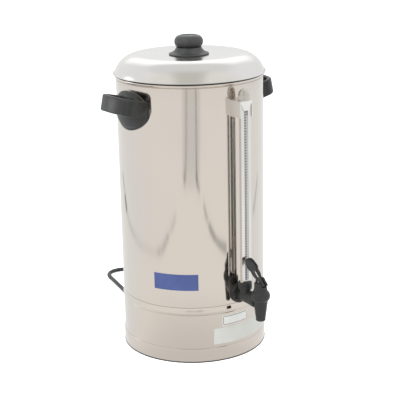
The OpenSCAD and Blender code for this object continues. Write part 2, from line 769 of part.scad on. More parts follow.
// Handle on the +X side: oval base hugging the tank, and a bowed grip swept round two corners
module handle() {
  bow_x = body_r + grip_out - grip_bow_r;
  corner_y = grip_half_w - grip_corner_r;
  corner_x = bow_x + sqrt(pow(grip_bow_r - grip_corner_r, 2) - corner_y * corner_y);
  bow_half = atan2(corner_y, corner_x - bow_x);
  leg_x = body_r * cos(asin(grip_half_w / body_r)) - 8;
  tilt_x = body_r - 2;
  color("dimgray") difference() {
    union() {
      intersection() {
        translate([0, 0, handle_z]) rotate([90, 0, 90]) linear_extrude(2 * body_r)
          oval(handle_half_w, handle_half_h, handle_end_r);
        cylinder(r = body_r + handle_lip, h = 2 * rim_h, $fn = 180);
      }
      intersection() {
        translate([0, 0, handle_z]) rotate([90, 0, 90]) linear_extrude(2 * body_r)
          oval(handle_half_w - dome_inset, handle_half_h - dome_inset, handle_end_r - dome_inset);
        translate([body_r + dome_out - dome_sphere_r, 0, handle_z]) sphere(dome_sphere_r, $fn = 120);
      }
      translate([tilt_x, 0, grip_z]) rotate([0, -grip_tilt, 0]) translate([-tilt_x, 0, 0]) {
        // bow and legs are a hair slimmer than the corners, so that they end inside them
        translate([bow_x, 0, 0]) rotate([0, 0, -bow_half - bow_lap])
          rotate_extrude(angle = 2 * (bow_half + bow_lap), $fn = 240) translate([grip_bow_r - grip_t / 2, 0])
            round_rect(grip_t - grip_slim, grip_h - grip_slim, grip_edge_r);
        for (s = [0, 1]) mirror([0, s, 0]) {
          translate([corner_x, corner_y, 0]) rotate([0, 0, bow_half]) rotate_extrude(angle = 90 - bow_half)
            translate([grip_corner_r - grip_t / 2, 0]) round_rect(grip_t, grip_h, grip_edge_r);
          translate([leg_x, grip_half_w - grip_t / 2, 0]) rotate([90, 0, 90])
            linear_extrude(corner_x + leg_lap - leg_x)
              round_rect(grip_t - grip_slim, grip_h - grip_slim, grip_edge_r);
        }
      }
    }
    cylinder(r = body_r, h = 2 * rim_h, $fn = 180);
    for (z = [-1, 1])
      bar_x(handle_screw_r + slip, body_r - 5, body_r + dome_out - 2, handle_z + z * screw_pitch);
  }
}

module handle_right() {
  handle();
}

module handle_left() {
  rotate([0, 0, 180]) handle();
}

module handle_washers() {
  color("gray") for (side = [0, 180], z = [-1, 1]) rotate([0, 0, side]) difference() {
    bar_x(handle_washer_r, handle_washer_x - handle_washer_t, handle_washer_x, handle_z + z * screw_pitch);
    bar_x(handle_screw_r + slip, handle_washer_x - 2, handle_washer_x + 1, handle_z + z * screw_pitch);
  }
}

module handle_screws() {
  face_x = handle_washer_x - handle_washer_t;
  color("silver") for (side = [0, 180], z = [-1, 1]) rotate([0, 0, side])
    translate([face_x, 0, handle_z + z * screw_pitch]) {
      rotate([0, 90, 0]) cylinder(r = handle_screw_r, h = body_r + dome_out - 3 - face_x, $fn = 32);
      rotate([0, -90, 0]) difference() {
        cylinder(r = screw_head_r, h = 2.4, $fn = 48);
        translate([0, 0, 2]) cube([2.5 * screw_head_r, 1, 1], center = true);
      }
    }
}

// ---------------------------------------------------------------- sight gauge

// Folded bracket from the tank wall to the guard, open below, with a tapered front plate
module gauge_bracket() {
  low = bracket_top - bracket_h;
  tongue_low = bracket_top - tongue_h;
  tongue_half = guard_slot / 2 + 1;
  inner = bracket_w / 2 - bracket_t;
  color("silver") tap_side() difference() {
    translate([0, -bracket_w / 2, low]) cube([bracket_front, bracket_w, bracket_h]);
    cylinder(r = body_r, h = 2 * rim_h, $fn = 180);
    // inside, and the open bottom
    difference() {
      translate([0, -inner, low - 1]) cube([guard_front, 2 * inner, bracket_h + 1 - bracket_t]);
      cylinder(r = body_r + bracket_t, h = 2 * rim_h, $fn = 180);
    }
    // front plate narrows down to a tongue over the slot's end
    translate([guard_front - eps, 0, 0]) rotate([90, 0, 90]) linear_extrude(2 * bracket_t) {
      translate([-inner, low - 1]) square([2 * inner, tongue_low - low + 1]);
      for (s = [-1, 1]) polygon([
        [s * inner, tongue_low - eps], [s * tongue_half, tongue_low - eps],
        [s * inner, bracket_top - 3 * bracket_t]
      ]);
    }
    translate([gauge_out, 0, bracket_top - bracket_t - 1])
      cylinder(r = grommet_r, h = bracket_t + 2, $fn = 48);
    bar_x(bracket_screw_r + slip, body_r - 5, body_r + 5, bracket_screw_z);
  }
}

module bracket_screw() {
  head_x = body_r + bracket_t;
  color("silver") tap_side() {
    bar_x(bracket_screw_r, wall_in - 6, head_x, bracket_screw_z);
    difference() {
      bar_x(3.6, head_x, head_x + 2.2, bracket_screw_z);
      translate([head_x + 2, 0, bracket_screw_z]) cube([1, 0.9, 8], center = true);
    }
  }
}

module bracket_nut() {
  nut_half = bracket_screw_r * 2;
  face_x = sqrt(wall_in * wall_in - nut_half * nut_half);
  color("silver") tap_side() translate([face_x - small_nut_h, 0, bracket_screw_z]) rotate([0, 90, 0])
    hex_nut(small_nut, small_nut_h, bracket_screw_r + slip);
}

// Shallow channel, open towards the tank, with a slot that ends short of both ends
module gauge_guard() {
  inner_w = guard_w - 2 * guard_t;
  guard_l = guard_top - gauge_nut_top;
  color("silver") tap_side() translate([guard_front - guard_depth, 0, gauge_nut_top]) difference() {
    translate([0, -guard_w / 2, 0]) cube([guard_depth, guard_w, guard_l]);
    translate([-1, -inner_w / 2, -1]) cube([guard_depth + 1 - guard_t, inner_w, guard_l + 2]);
    translate([0, -guard_slot / 2, 3]) cube([guard_depth + 1, guard_slot, guard_l - 11]);
  }
}

module gauge_tube() {
  low = boss_top - 5.5;
  color("lightcyan") tap_side() translate([gauge_out, 0, low]) difference() {
    cylinder(r = gauge_tube_r, h = bracket_top + 7 - low, $fn = 48);
    translate([0, 0, -1]) cylinder(r = gauge_tube_r - gauge_tube_t, h = bracket_top + 10 - low, $fn = 48);
  }
}

module gauge_grommet() {
  color("black") tap_side() translate([gauge_out, 0, bracket_top - bracket_t - 1.2]) difference() {
    cylinder(r = grommet_r, h = grommet_h, $fn = 48);
    translate([0, 0, -1]) cylinder(r = gauge_tube_r, h = grommet_h + 2, $fn = 48);
  }
}

// Fluted cap with a domed top and a vent hole
module gauge_cap() {
  band_h = cap_h - 7.4;
  dome_r = cap_r - 0.4;
  color("silver") tap_side() translate([gauge_out, 0, bracket_top]) difference() {
    union() {
      cylinder(r = cap_r, h = band_h, $fn = 72);
      translate([0, 0, band_h]) cylinder(r = cap_r - 0.8, h = 0.8, $fn = 72);
      intersection() {
        translate([0, 0, band_h + 0.4]) sphere(dome_r, $fn = 72);
        translate([0, 0, band_h + 0.7]) cylinder(r = cap_r, h = cap_h, $fn = 72);
      }
    }
    translate([0, 0, -1]) cylinder(r = grommet_r + 0.1, h = 11, $fn = 48);
    cylinder(r = 0.8, h = cap_h + 5, $fn = 24);
    for (i = [0:cap_flutes - 1]) rotate([0, 0, 360 * i / cap_flutes]) translate([cap_r + 0.35, 0, 1.2])
      cylinder(r = 0.8, h = band_h - 2.2, $fn = 16);
  }
}

module gauge_seal() {
  color("black") tap_side() translate([gauge_out, 0, boss_top]) difference() {
    cylinder(r = grommet_r, h = gauge_seal_h, $fn = 48);
    translate([0, 0, -1]) cylinder(r = gauge_tube_r, h = gauge_seal_h + 2, $fn = 48);
  }
}

// Fluted nut that squeezes the seal onto the tube
module gauge_nut() {
  seal_top = boss_top + gauge_seal_h;
  color("black") tap_side() translate([gauge_out, 0, 0]) difference() {
    rotate_extrude($fn = 72) polygon([
      [0, gauge_nut_z], [gauge_nut_r, gauge_nut_z], [gauge_nut_r, gauge_nut_top - 1.5],
      [gauge_nut_r - 1.5, gauge_nut_top], [0, gauge_nut_top]
    ]);
    translate([0, 0, gauge_nut_z - 1]) cylinder(r = boss_r, h = boss_top - gauge_nut_z + 1, $fn = 72);
    translate([0, 0, boss_top - 1]) cylinder(r = grommet_r, h = seal_top - boss_top + 1, $fn = 48);
    translate([0, 0, seal_top - 1]) cylinder(r = gauge_tube_r + 0.1, h = 20, $fn = 48);
    for (i = [0:gauge_nut_flutes - 1]) rotate([0, 0, 360 * i / gauge_nut_flutes])
      translate([gauge_nut_r + 0.3, 0, gauge_nut_z + 1.5])
        cylinder(r = 0.9, h = gauge_nut_top - gauge_nut_z - 4, $fn = 16);
  }
}

// ---------------------------------------------------------------- tap

module tap_shank() {
  flange_x = body_r + seal_t;
  color("black") tap_side() difference() {
    union() {
      bar_x(thread_r, shank_in, flange_x + 1, shank_z);
      bar_x(flange_r, flange_x, flange_x + flange_t, shank_z);
      bar_x(flange_r - 2.5, flange_x + flange_t - eps, flange_x + flange_t + 1.7, shank_z);
      translate([flange_x + flange_t, 0, shank_z]) rotate([0, 90, 0])
        cylinder(r1 = barrel_r1, r2 = barrel_r2, h = barrel_end - flange_x - flange_t);
      bar_x(tap_spigot_r, barrel_end - 1, barrel_end + spigot_len, shank_z);
      translate([gauge_out, 0, shank_z]) cylinder(r = boss_r, h = boss_top - shank_z, $fn = 72);
    }
    bar_x(shank_bore_r, shank_in - 1, barrel_end + spigot_len + 1, shank_z);
    translate([gauge_out, 0, shank_z]) cylinder(r = 2, h = 20, $fn = 32);
    translate([gauge_out, 0, boss_top - 5.5]) cylinder(r = gauge_tube_r + slip, h = 10, $fn = 48);
  }
}

// Contoured washer outside the tank wall
module shank_seal_outer() {
  color("darkslategray") tap_side() difference() {
    bar_x(flange_r + 0.5, body_r - 8, body_r + seal_t, shank_z);
    cylinder(r = body_r, h = 2 * rim_h, $fn = 180);
    bar_x(thread_r, body_r - 10, body_r + 10, shank_z);
  }
}

// Contoured washer inside the tank wall
module shank_seal_inner() {
  color("darkslategray") tap_side() difference() {
    intersection() {
      bar_x(flange_r - 1.5, wall_in - inner_seal_t, body_r, shank_z);
      cylinder(r = wall_in, h = 2 * rim_h, $fn = 180);
    }
    bar_x(thread_r, body_r - 15, body_r + 10, shank_z);
  }
}

module shank_nut() {
  color("silver") tap_side() translate([wall_in - inner_seal_t - shank_nut_h, 0, shank_z]) rotate([0, 90, 0])
    hex_nut(shank_nut, shank_nut_h, thread_r);
}

// Tap body: bulb and spout turned in one, with the valve seat inside
module tap_body() {
  color("black") tap_side() difference() {
    union() {
      translate([tap_out, 0, 0]) rotate_extrude() {
        intersection() {
          translate([bulb_r - bulb_roll, bulb_z]) circle(bulb_roll);
          translate([0, shank_z - 1]) square([bulb_r + 1, 30]);
        }
        polygon([
          [0, shank_z - spout_drop], [spout_r, shank_z - spout_drop],
          [spout_r + 3.6, shank_z], [spout_r + 4.2, shank_z + 4], [0, shank_z + 4]
        ]);
        translate([0, shank_z]) square([bulb_neck_r, bulb_top - shank_z]);
        translate([spout_r - 0.5, shank_z - spout_drop + 0.9]) circle(0.9, $fn = 24);
      }
      bar_x(barrel_r2 + 0.6, barrel_end, tap_out - 6, shank_z);
      bar_x(bulb_r - 5, barrel_end, tap_out, shank_z);
    }
    bar_x(tap_spigot_r, barrel_end - 1, barrel_end + spigot_len, shank_z);
    bar_x(shank_bore_r, barrel_end, tap_out, shank_z);
    translate([tap_out, 0, seat_z]) cylinder(r = chamber_r, h = 40, $fn = 72);
    translate([tap_out, 0, shank_z - spout_drop - 2]) cylinder(r = outlet_r, h = spout_drop + 10, $fn = 72);
  }
}

// Bonnet: guides the stem, holds the spring's top, and carries the lever's cam between two ears
module tap_bonnet() {
  color("black") tap_side() translate([tap_out, 0, 0]) difference() {
    rotate_extrude($fn = 72) polygon([
      [0, bulb_top - bonnet_skirt], [chamber_r, bulb_top - bonnet_skirt], [chamber_r, bulb_top],
      [bonnet_r, bulb_top], [bonnet_r, bonnet_top - 1.2], [bonnet_r - 1.2, bonnet_top], [0, bonnet_top]
    ]);
    translate([-20, -hub_w / 2 - loose, land_z]) cube([40, hub_w + 2 * loose, 20]);
    translate([0, 0, bulb_top - bonnet_skirt - 1])
      cylinder(r = pocket_r, h = pocket_top - bulb_top + bonnet_skirt + 1, $fn = 72);
    cylinder(r = stem_r + slip, h = 2 * rim_h, $fn = 48);
  }
}

// Stem: round below, flatted where it runs through the lever's fork, with an eye for the pin
module valve_stem() {
  flat_z = bulb_top - 0.5;
  color("silver") tap_side() translate([tap_out, 0, 0]) difference() {
    union() {
      translate([0, 0, stem_low]) cylinder(r = stem_r, h = flat_z - stem_low, $fn = 48);
      intersection() {
        translate([0, 0, flat_z - eps]) cylinder(r = stem_r, h = pivot_z - flat_z, $fn = 48);
        translate([-5, -tongue_t / 2, flat_z - 1]) cube([10, tongue_t, 30]);
      }
      translate([0, 0, pivot_z]) rotate([90, 0, 0])
        cylinder(r = eye_r, h = tongue_t, center = true, $fn = 48);
    }
    translate([0, 0, pivot_z]) rotate([90, 0, 0]) cylinder(r = pin_r + slip, h = 10, center = true, $fn = 48);
  }
}

// Soft cup that closes the seat and carries the spring
module seat_cup() {
  low = seat_z + seat_gap;
  color("lightgray") tap_side() translate([tap_out, 0, 0]) difference() {
    rotate_extrude($fn = 72) polygon([
      [0, low], [cup_r - 0.6, low], [cup_r, low + 0.8], [cup_r - 0.4, shank_z],
      [cup_r - 1, cup_top], [0, cup_top]
    ]);
    translate([0, 0, stem_low]) cylinder(r = stem_r, h = 20, $fn = 48);
    translate([0, 0, low - 1]) cylinder(r = 3, h = 2, $fn = 48);
  }
}

module valve_spring() {
  low = cup_top + spring_wire_r;
  high = pocket_top - spring_wire_r;
  steps = spring_turns * 14;
  color("silver") tap_side() translate([tap_out, 0, 0]) swept_tube([
    for (i = [0:steps]) let(a = 360 * spring_turns * i / steps)
      [spring_mid_r * cos(a), spring_mid_r * sin(a), low + (high - low) * i / steps]
  ], spring_wire_r, 6);
}

// Outline of the lever's hub round its pivot. The lower front is the involute whose flat
// follower rises in step with the angle, so the stem lifts evenly as the lever turns.
function hub_outline() =
  let(
    h0 = pivot_rise - cam_gap,
    rise = [for (i = [0:12]) let(a = open_angle * 1.04 * i / 12, h = h0 + lift_per_rad * a * PI / 180)
      [h * sin(a) + lift_per_rad * cos(a), -h * cos(a) + lift_per_rad * sin(a)]]
  )
  concat(arc(0, 0, h0 - 0.6, 20, 180, 20), arc(0, 0, h0, 200, 270, 10), rise);

// Outline of the lever's arm and paddle along +X
module arm_outline() {
  root = hub_w / 2 - 0.5;
  polygon([
    [0, -root], [5, -root], [12, -rail_w / 2], [20, -rail_w / 2],
    [20, rail_w / 2], [12, rail_w / 2], [5, root], [0, root]
  ]);
  paddle_outline(0);
}

// Egg-shaped paddle, drawn in from its edge by inset
module paddle_outline(inset) {
  tip_r = paddle_w / 2 - 1.5;
  hull() {
    translate([lever_l - paddle_w / 2 - 6, 0]) circle(paddle_w / 2 - inset, $fn = 48);
    translate([lever_l - tip_r, 0]) circle(tip_r - inset, $fn = 48);
  }
}

module tap_lever() {
  color("black") tap_side() translate([tap_out, 0, pivot_z]) difference() {
    union() {
      rotate([90, 0, 0]) linear_extrude(hub_w, center = true) polygon(hub_outline());
      rotate([0, -90 - lever_lean, 0]) translate([0, 0, -lever_t / 2]) linear_extrude(lever_t) arm_outline();
    }
    // fork for the stem, and the window between the rails
    rotate([0, -90 - lever_lean, 0]) translate([-20, -hub_gap / 2, -20]) cube([27, hub_gap, 40]);
    rotate([0, -90 - lever_lean, 0]) translate([7, -rail_slot / 2, -20]) cube([10.5, rail_slot, 40]);
    // hollow of the paddle
    rotate([0, -90 - lever_lean, 0]) translate([0, 0, -lever_t / 2 - eps]) linear_extrude(1.4)
      paddle_outline(1.8);
    rotate([90, 0, 0]) cylinder(r = pin_r, h = hub_w + 2, center = true, $fn = 48);
  }
}

module lever_pin() {
  color("silver") tap_side() translate([tap_out, 0, pivot_z]) rotate([90, 0, 0])
    cylinder(r = pin_r, h = hub_w, center = true, $fn = 48);
}

// ---------------------------------------------------------------- percolator

// Pump tube with its bell foot in the heater well and a collar for the basket
module pump_tube() {
  bell_low = well_z + loose;
  color("gainsboro") {
    difference() {
      union() {
        translate([0, 0, bell_low]) rotate_extrude() polygon([
          [0, 0], [foot_bell_r, 0], [foot_bell_r, 2], [foot_bell_r - 6, bell_h * 0.55],
          [pump_tube_r, bell_h], [0, bell_h]
        ]);
        translate([0, 0, bell_low + bell_h - 1])
          cylinder(r = pump_tube_r, h = pump_tube_top - bell_low - bell_h + 1, $fn = 48);
        translate([0, 0, basket_z - loose - collar_h])
          cylinder(r1 = pump_tube_r, r2 = basket_post_r + 1.5, h = collar_h, $fn = 48);
      }
      // hollow of the bell and bore of the tube
      translate([0, 0, bell_low]) rotate_extrude() polygon([
        [0, -1], [foot_bell_r - 1, -1], [foot_bell_r - 1, 1.6], [foot_bell_r - 7, bell_h * 0.55 - 1],
        [pump_tube_r - tube_wall, bell_h - 1.6], [0, bell_h - 1.6]
      ]);
      cylinder(r = pump_tube_r - tube_wall, h = 2 * rim_h, $fn = 48);
      // water gets in under the bell
      for (i = [0:5]) rotate([0, 0, 60 * i]) translate([foot_bell_r - 4, -2, bell_low - 1]) cube([8, 4, 2.2]);
    }
  }
}

// Rings of drilled holes between radius r0 and r1, through z = -2 to 2
module hole_pattern(r0, r1) {
  for (k = [0:hole_rings - 1]) let(r = r0 + k * hole_pitch, n = 8 + 6 * k)
    if (r < r1) for (i = [0:n - 1]) rotate([0, 0, 360 * (i + k / 2) / n]) translate([r, 0, -2])
      cylinder(r = hole_r, h = 4, $fn = 16);
}

// Perforated basket with a centre post that slides over the pump tube
module coffee_basket() {
  color("gainsboro") difference() {
    union() {
      rotate_extrude($fn = 120) {
        translate([pump_tube_r + loose, basket_z])
          square([basket_post_r - pump_tube_r - loose, basket_post_h]);
        translate([pump_tube_r + loose, basket_z]) square([basket_r - pump_tube_r - loose, basket_t]);
        translate([basket_r, basket_z]) square([basket_t, basket_h]);
        translate([basket_r + basket_t, basket_z + basket_h - 1.2]) circle(1.2, $fn = 32);
      }
    }
    translate([0, 0, basket_z]) hole_pattern(first_hole_ring, basket_r - 4);
  }
}

// Perforated spreader that drops into the basket's mouth
module basket_cover() {
  post_gap_r = basket_post_r + loose;
  low = cover_z + loose;
  color("gainsboro") difference() {
    rotate_extrude($fn = 120) {
      translate([basket_r - basket_rim, low]) square([2 * basket_rim, basket_t]);
      translate([basket_r - basket_rim, low - cover_dish]) square([basket_t, cover_dish + basket_t]);
      translate([post_gap_r, low - cover_dish]) square([basket_r - basket_rim - post_gap_r + eps, basket_t]);
      translate([post_gap_r, low - cover_dish]) square([basket_t, cover_dish]);
    }
    translate([0, 0, low - cover_dish]) hole_pattern(first_hole_ring, basket_r - basket_rim - 4);
  }
}

// ---------------------------------------------------------------- mains lead

// Gland: inner flange, neck through the skirt, outer flange and a ribbed strain relief
module cord_gland() {
  inner_r = 9;
  face_y = sqrt(wall_in * wall_in - inner_r * inner_r);
  sleeve_y = body_r + flange_out;
  color("black") translate([0, 0, gland_h]) rotate([-90, 0, 0]) {
    difference() {
      union() {
        translate([0, 0, gland_in]) cylinder(r = inner_r, h = face_y - gland_in, $fn = 72);
        translate([0, 0, gland_in]) cylinder(r = gland_neck_r, h = sleeve_y - gland_in, $fn = 72);
        translate([0, 0, body_r + slip]) cylinder(r = 10, h = flange_out - slip, $fn = 72);
        translate([0, 0, sleeve_y - eps])
          cylinder(r1 = relief_root_r, r2 = relief_tip_r, h = relief_l + eps, $fn = 72);
      }
      // flexing grooves along the sleeve
      for (i = [1:5]) translate([0, 0, sleeve_y + relief_l * i / 6.5]) rotate_extrude($fn = 72)
        translate([relief_root_r - (relief_root_r - relief_tip_r) * i / 6.5 + 0.5, 0]) circle(1.1, $fn = 24);
    }
  }
}

module cord_lead() {
  color("black") swept_tube(lead_route, lead_r, 10);
}

// Closed outer shape of the coil: two layers of two turns
module cord_coil() {
  color("black") translate([coil_at[0], coil_at[1], coil_lift + coil_half]) rotate_extrude()
    translate([coil_mid_r, 0]) round_rect(2 * coil_half, 2 * coil_half, lead_r);
}

module cord_tail() {
  color("black") swept_tube(tail_route, lead_r, 10);
}

// Band round one side of the coil
module cord_tie() {
  opening = 2 * (coil_half + loose);
  color("black") translate([coil_at[0], coil_at[1], coil_lift + coil_half]) rotate([0, 0, 20])
    translate([coil_mid_r, 0, 0]) rotate([90, 0, 0]) linear_extrude(tie_w, center = true) difference() {
      round_rect(opening + 2 * tie_t, opening + 2 * tie_t, lead_r + tie_t);
      round_rect(opening, opening, lead_r);
    }
}

// Moulded plug: tapered neck, waisted grip and a flat face
module plug_body() {
  color("black") translate(plug_at) rotate([0, 0, tail_angle]) {
    rotate([0, 90, 0]) cylinder(r1 = lead_r + 0.8, r2 = 7, h = plug_neck_l, $fn = 48);
    translate([plug_neck_l - eps, 0, 0]) rotate([90, 0, 90])
      linear_extrude(plug_l - plug_neck_l - 6) round_rect(plug_w - 6, plug_t - 3, 5);
    translate([plug_l - 6 - eps, 0, 0]) rotate([90, 0, 90]) linear_extrude(6) round_rect(plug_w, plug_t, 6);
  }
}

module plug_pins() {
  color("silver") translate(plug_at) rotate([0, 0, tail_angle]) translate([plug_l - eps, 0, 0]) {
    for (y = [-1, 1]) translate([0, y * 6.35 - 0.75, -8.1]) cube([pin_l, 1.5, 6.3]);
    translate([0, 0, 6.9]) rotate([0, 90, 0]) {
      cylinder(r = 2.4, h = pin_l + 1, $fn = 32);
      translate([0, 0, pin_l + 1]) sphere(2.4, $fn = 32);
    }
  }
}

// ---------------------------------------------------------------- drawing

tank();
base_skirt();
base_plate();
rubber_foot();
tank_studs();
base_nuts();
pump_heater();
keep_warm_heater();
heater_clamp();
clamp_nuts();
thermostat();
thermal_cutout();
terminal_block();
terminal_screws();
inner_wiring();
handle_left();
handle_right();
handle_screws();
handle_washers();
gauge_bracket();
bracket_screw();
bracket_nut();
gauge_guard();
gauge_tube();
gauge_cap();
gauge_grommet();
gauge_seal();
gauge_nut();
tap_shank();
shank_seal_outer();
shank_seal_inner();
shank_nut();
tap_body();
tap_bonnet();
valve_spring();
valve_stem();
seat_cup();
tap_lever();
lever_pin();
lid();
lid_knob();
knob_screw();
knob_washer();
pump_tube();
coffee_basket();
basket_cover();
cord_gland();
cord_lead();
cord_coil();
cord_tail();
cord_tie();
plug_body();
plug_pins();
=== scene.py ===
"""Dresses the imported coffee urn: steel shells, mouldings, mains lead, stickers, studio and camera."""

from __future__ import annotations

import functools
import json
import logging
import math
from dataclasses import dataclass, field
from enum import Enum
from typing import Callable, Sequence

import bmesh
import bpy
from mathutils import Matrix, Vector

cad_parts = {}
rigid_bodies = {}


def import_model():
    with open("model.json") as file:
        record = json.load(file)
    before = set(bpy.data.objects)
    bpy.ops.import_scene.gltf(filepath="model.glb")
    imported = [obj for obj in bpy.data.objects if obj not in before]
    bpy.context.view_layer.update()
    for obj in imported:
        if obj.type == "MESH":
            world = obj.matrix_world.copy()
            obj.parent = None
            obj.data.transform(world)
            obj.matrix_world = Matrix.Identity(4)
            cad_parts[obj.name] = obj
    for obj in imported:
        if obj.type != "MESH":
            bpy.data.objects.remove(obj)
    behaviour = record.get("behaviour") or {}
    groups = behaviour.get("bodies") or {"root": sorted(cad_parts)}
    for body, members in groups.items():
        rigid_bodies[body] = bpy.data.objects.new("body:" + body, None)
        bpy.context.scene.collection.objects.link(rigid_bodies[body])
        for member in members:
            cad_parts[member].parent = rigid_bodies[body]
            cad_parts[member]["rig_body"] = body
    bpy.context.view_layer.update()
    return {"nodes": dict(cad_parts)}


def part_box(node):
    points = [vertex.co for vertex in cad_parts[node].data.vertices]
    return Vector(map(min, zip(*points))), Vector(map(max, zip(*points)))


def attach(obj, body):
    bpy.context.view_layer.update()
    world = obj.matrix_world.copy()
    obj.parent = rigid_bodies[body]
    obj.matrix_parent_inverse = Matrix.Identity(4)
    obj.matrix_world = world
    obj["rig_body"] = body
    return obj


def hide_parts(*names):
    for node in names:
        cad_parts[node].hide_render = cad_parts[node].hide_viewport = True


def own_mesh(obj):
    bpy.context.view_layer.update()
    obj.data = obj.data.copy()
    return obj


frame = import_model()

log = logging.getLogger("urn")

MM = 0.001
MERGE = 1e-6
CAD_MERGE = 2e-6
FLAT_ANGLE = 0.5
Point2 = tuple[float, float]
Point3 = tuple[float, float, float]
Colour = tuple[float, float, float]


# ---------- shader maths


def operator(operation: str) -> Callable[[Sock, Value], Sock]:
    """Makes a method that adds a Math node for an operation on two values."""
    return lambda a, b: a.graph.node("ShaderNodeMath", {"operation": operation}, {0: a, 1: b})


@dataclass(frozen=True)
class Sock:
    """A shader socket that can be used in Python arithmetic.

    Attributes:
        graph: The graph that the socket belongs to.
        link: The output socket.
    """

    graph: Graph
    link: bpy.types.NodeSocket

    __add__ = __radd__ = operator("ADD")
    __mul__ = __rmul__ = operator("MULTIPLY")
    __sub__ = operator("SUBTRACT")
    __truediv__ = operator("DIVIDE")
    __pow__ = operator("POWER")
    most = operator("MAXIMUM")
    modulo = operator("MODULO")

    def ramp(self, low: float, high: float, to_low: float = 0.0, to_high: float = 1.0) -> Sock:
        """Smooth step from low to high, mapped to a range."""
        values = {0: self, 1: low, 2: high, 3: to_low, 4: to_high}
        return self.graph.node("ShaderNodeMapRange", {"interpolation_type": "SMOOTHSTEP"}, values)


Value = Sock | float | int | tuple


class Graph:
    """Node tree of one material or world, built by expressions."""

    def __init__(self, owner: bpy.types.Material | bpy.types.World) -> None:
        """Clears the tree.

        Args:
            owner: The material or world that has it.
        """
        owner.use_nodes = True
        self.tree = owner.node_tree
        self.tree.nodes.clear()

    def node(
        self, kind: str, settings: dict | None = None, inputs: dict | None = None, out: int | str = 0
    ) -> Sock:
        """Adds a node with its settings and then its inputs.

        Args:
            kind: The node's type.
            settings: Attributes of the node.
            inputs: Values or sockets by input name or index.
            out: Which output to return.

        Returns:
            The output as a Sock.
        """
        made = self.tree.nodes.new(kind)
        for key, value in (settings or {}).items():
            setattr(made, key, value)
        for key, value in (inputs or {}).items():
            socket = made.inputs[key]
            if isinstance(value, Sock):
                self.tree.links.new(value.link, socket)
            elif isinstance(value, tuple) and len(value) < len(socket.default_value):
                socket.default_value = (*value, 1.0)
            else:
                socket.default_value = value
        return Sock(self, made.outputs[out])

    def place(self, scale: Point3 = (1.0, 1.0, 1.0)) -> Sock:
        """Object coordinates, scaled along each axis."""
        coords = self.node("ShaderNodeTexCoord", out="Object")
        return self.node("ShaderNodeMapping", inputs={"Vector": coords, "Scale": scale})

    def axes(self, where: Sock) -> list[Sock]:
        """X, Y and Z of a vector."""
        apart = self.node("ShaderNodeSeparateXYZ", inputs={"Vector": where}).link.node
        return [Sock(self, part) for part in apart.outputs]

    def rays(self) -> tuple[Sock, Sock]:
        """Tells rays apart.

        Returns:
            Mask of the rays from the camera, through glass too, and mask of the mirrored ones.
        """
        path = self.node("ShaderNodeLightPath").link.node.outputs
        rays = ("Camera", "Transmission", "Glossy")
        camera, clear, mirrored = (Sock(self, path[f"Is {ray} Ray"]) for ray in rays)
        return camera.most(clear), mirrored

    def noise(self, pattern: Pattern) -> Sock:
        """Noise from 0 to 1 in object space."""
        inputs = {"Vector": self.place(pattern.stretch), "Scale": pattern.scale, "Detail": pattern.detail}
        return self.node("ShaderNodeTexNoise", inputs=inputs, out="Fac")

    def blend(self, mask: Value, a: Value, b: Value) -> Sock:
        """Colour a where mask is 0, and b where it is 1."""
        return self.node("ShaderNodeMix", {"data_type": "RGBA"}, {0: mask, 6: a, 7: b}, out=2)

    def bump(self, height: Sock, distance: float, strength: float) -> Sock:
        """Normal bent by a height from 0 to 1, over a distance in metres."""
        inputs = {"Height": height, "Distance": distance, "Strength": strength}
        return self.node("ShaderNodeBump", inputs=inputs, out="Normal")

    def surface(self, shader: Sock, kind: str = "ShaderNodeOutputMaterial") -> None:
        """Joins a shader to the tree's output."""
        self.tree.links.new(shader.link, self.tree.nodes.new(kind).inputs["Surface"])


# ---------- finishes


class Grain(Enum):
    """Way that a steel surface was rubbed."""

    ROUND = (0.02, 0.02, 1.0)
    UPRIGHT = (1.0, 1.0, 0.02)
    NONE = (1.0, 1.0, 1.0)


@dataclass(frozen=True)
class Pattern:
    """Noise that a finish varies by.

    Attributes:
        scale: Features to the metre.
        stretch: Scale of the coordinates along each axis.
        detail: Octaves of finer noise.
        tint: Noise values between which the colour drifts.
        polish: Noise values between which the roughness drifts.
    """

    scale: float
    stretch: Point3 = (1.0, 1.0, 1.0)
    detail: float = 3.0
    tint: Point2 = (0.4, 0.75)
    polish: Point2 = (0.3, 0.7)


# Dark crevice lines on steel: dirt with painted shade, where the lid's edge sits on the rim.
GRIME_AND_SHADE = (0.035, 0.032, 0.028)
GRIME_AND_SHADE_DEPTH = 0.82
GRIME_AND_SHADE_FADE = 1.8
GRIME_AND_SHADE_ROUGH = 0.3


@dataclass(frozen=True)
class Finish:
    """Surface whose colour and roughness drift.

    Attributes:
        name: The material's name.
        slot: The record's material slot.
        colour: Base colour, linear.
        shade: Colour that it drifts to.
        rough: Roughness of the shiny areas.
        spread: How much rougher the dull areas are.
    """

    name: str
    slot: str
    colour: Colour
    shade: Colour
    rough: float = 0.35
    spread: float = 0.15
    pattern = Pattern(45.0, detail=4.0)

    def inputs(self, g: Graph) -> dict[str, Value]:
        """Builds what feeds the shader.

        Args:
            g: The material's graph.

        Returns:
            Values and sockets by the shader's input.
        """
        noise = g.noise(self.pattern)
        tint = g.blend(noise.ramp(*self.pattern.tint), self.colour, self.shade)
        rough = noise.ramp(*self.pattern.polish, self.rough, self.rough + self.spread)
        return {"Base Color": tint, "Roughness": rough}

    @functools.cache
    def material(self) -> bpy.types.Material:
        """Builds the material the first time.

        Returns:
            The material.
        """
        made = bpy.data.materials.new(self.name)
        g = Graph(made)
        g.surface(g.node("ShaderNodeBsdfPrincipled", inputs=self.inputs(g)))
        return made


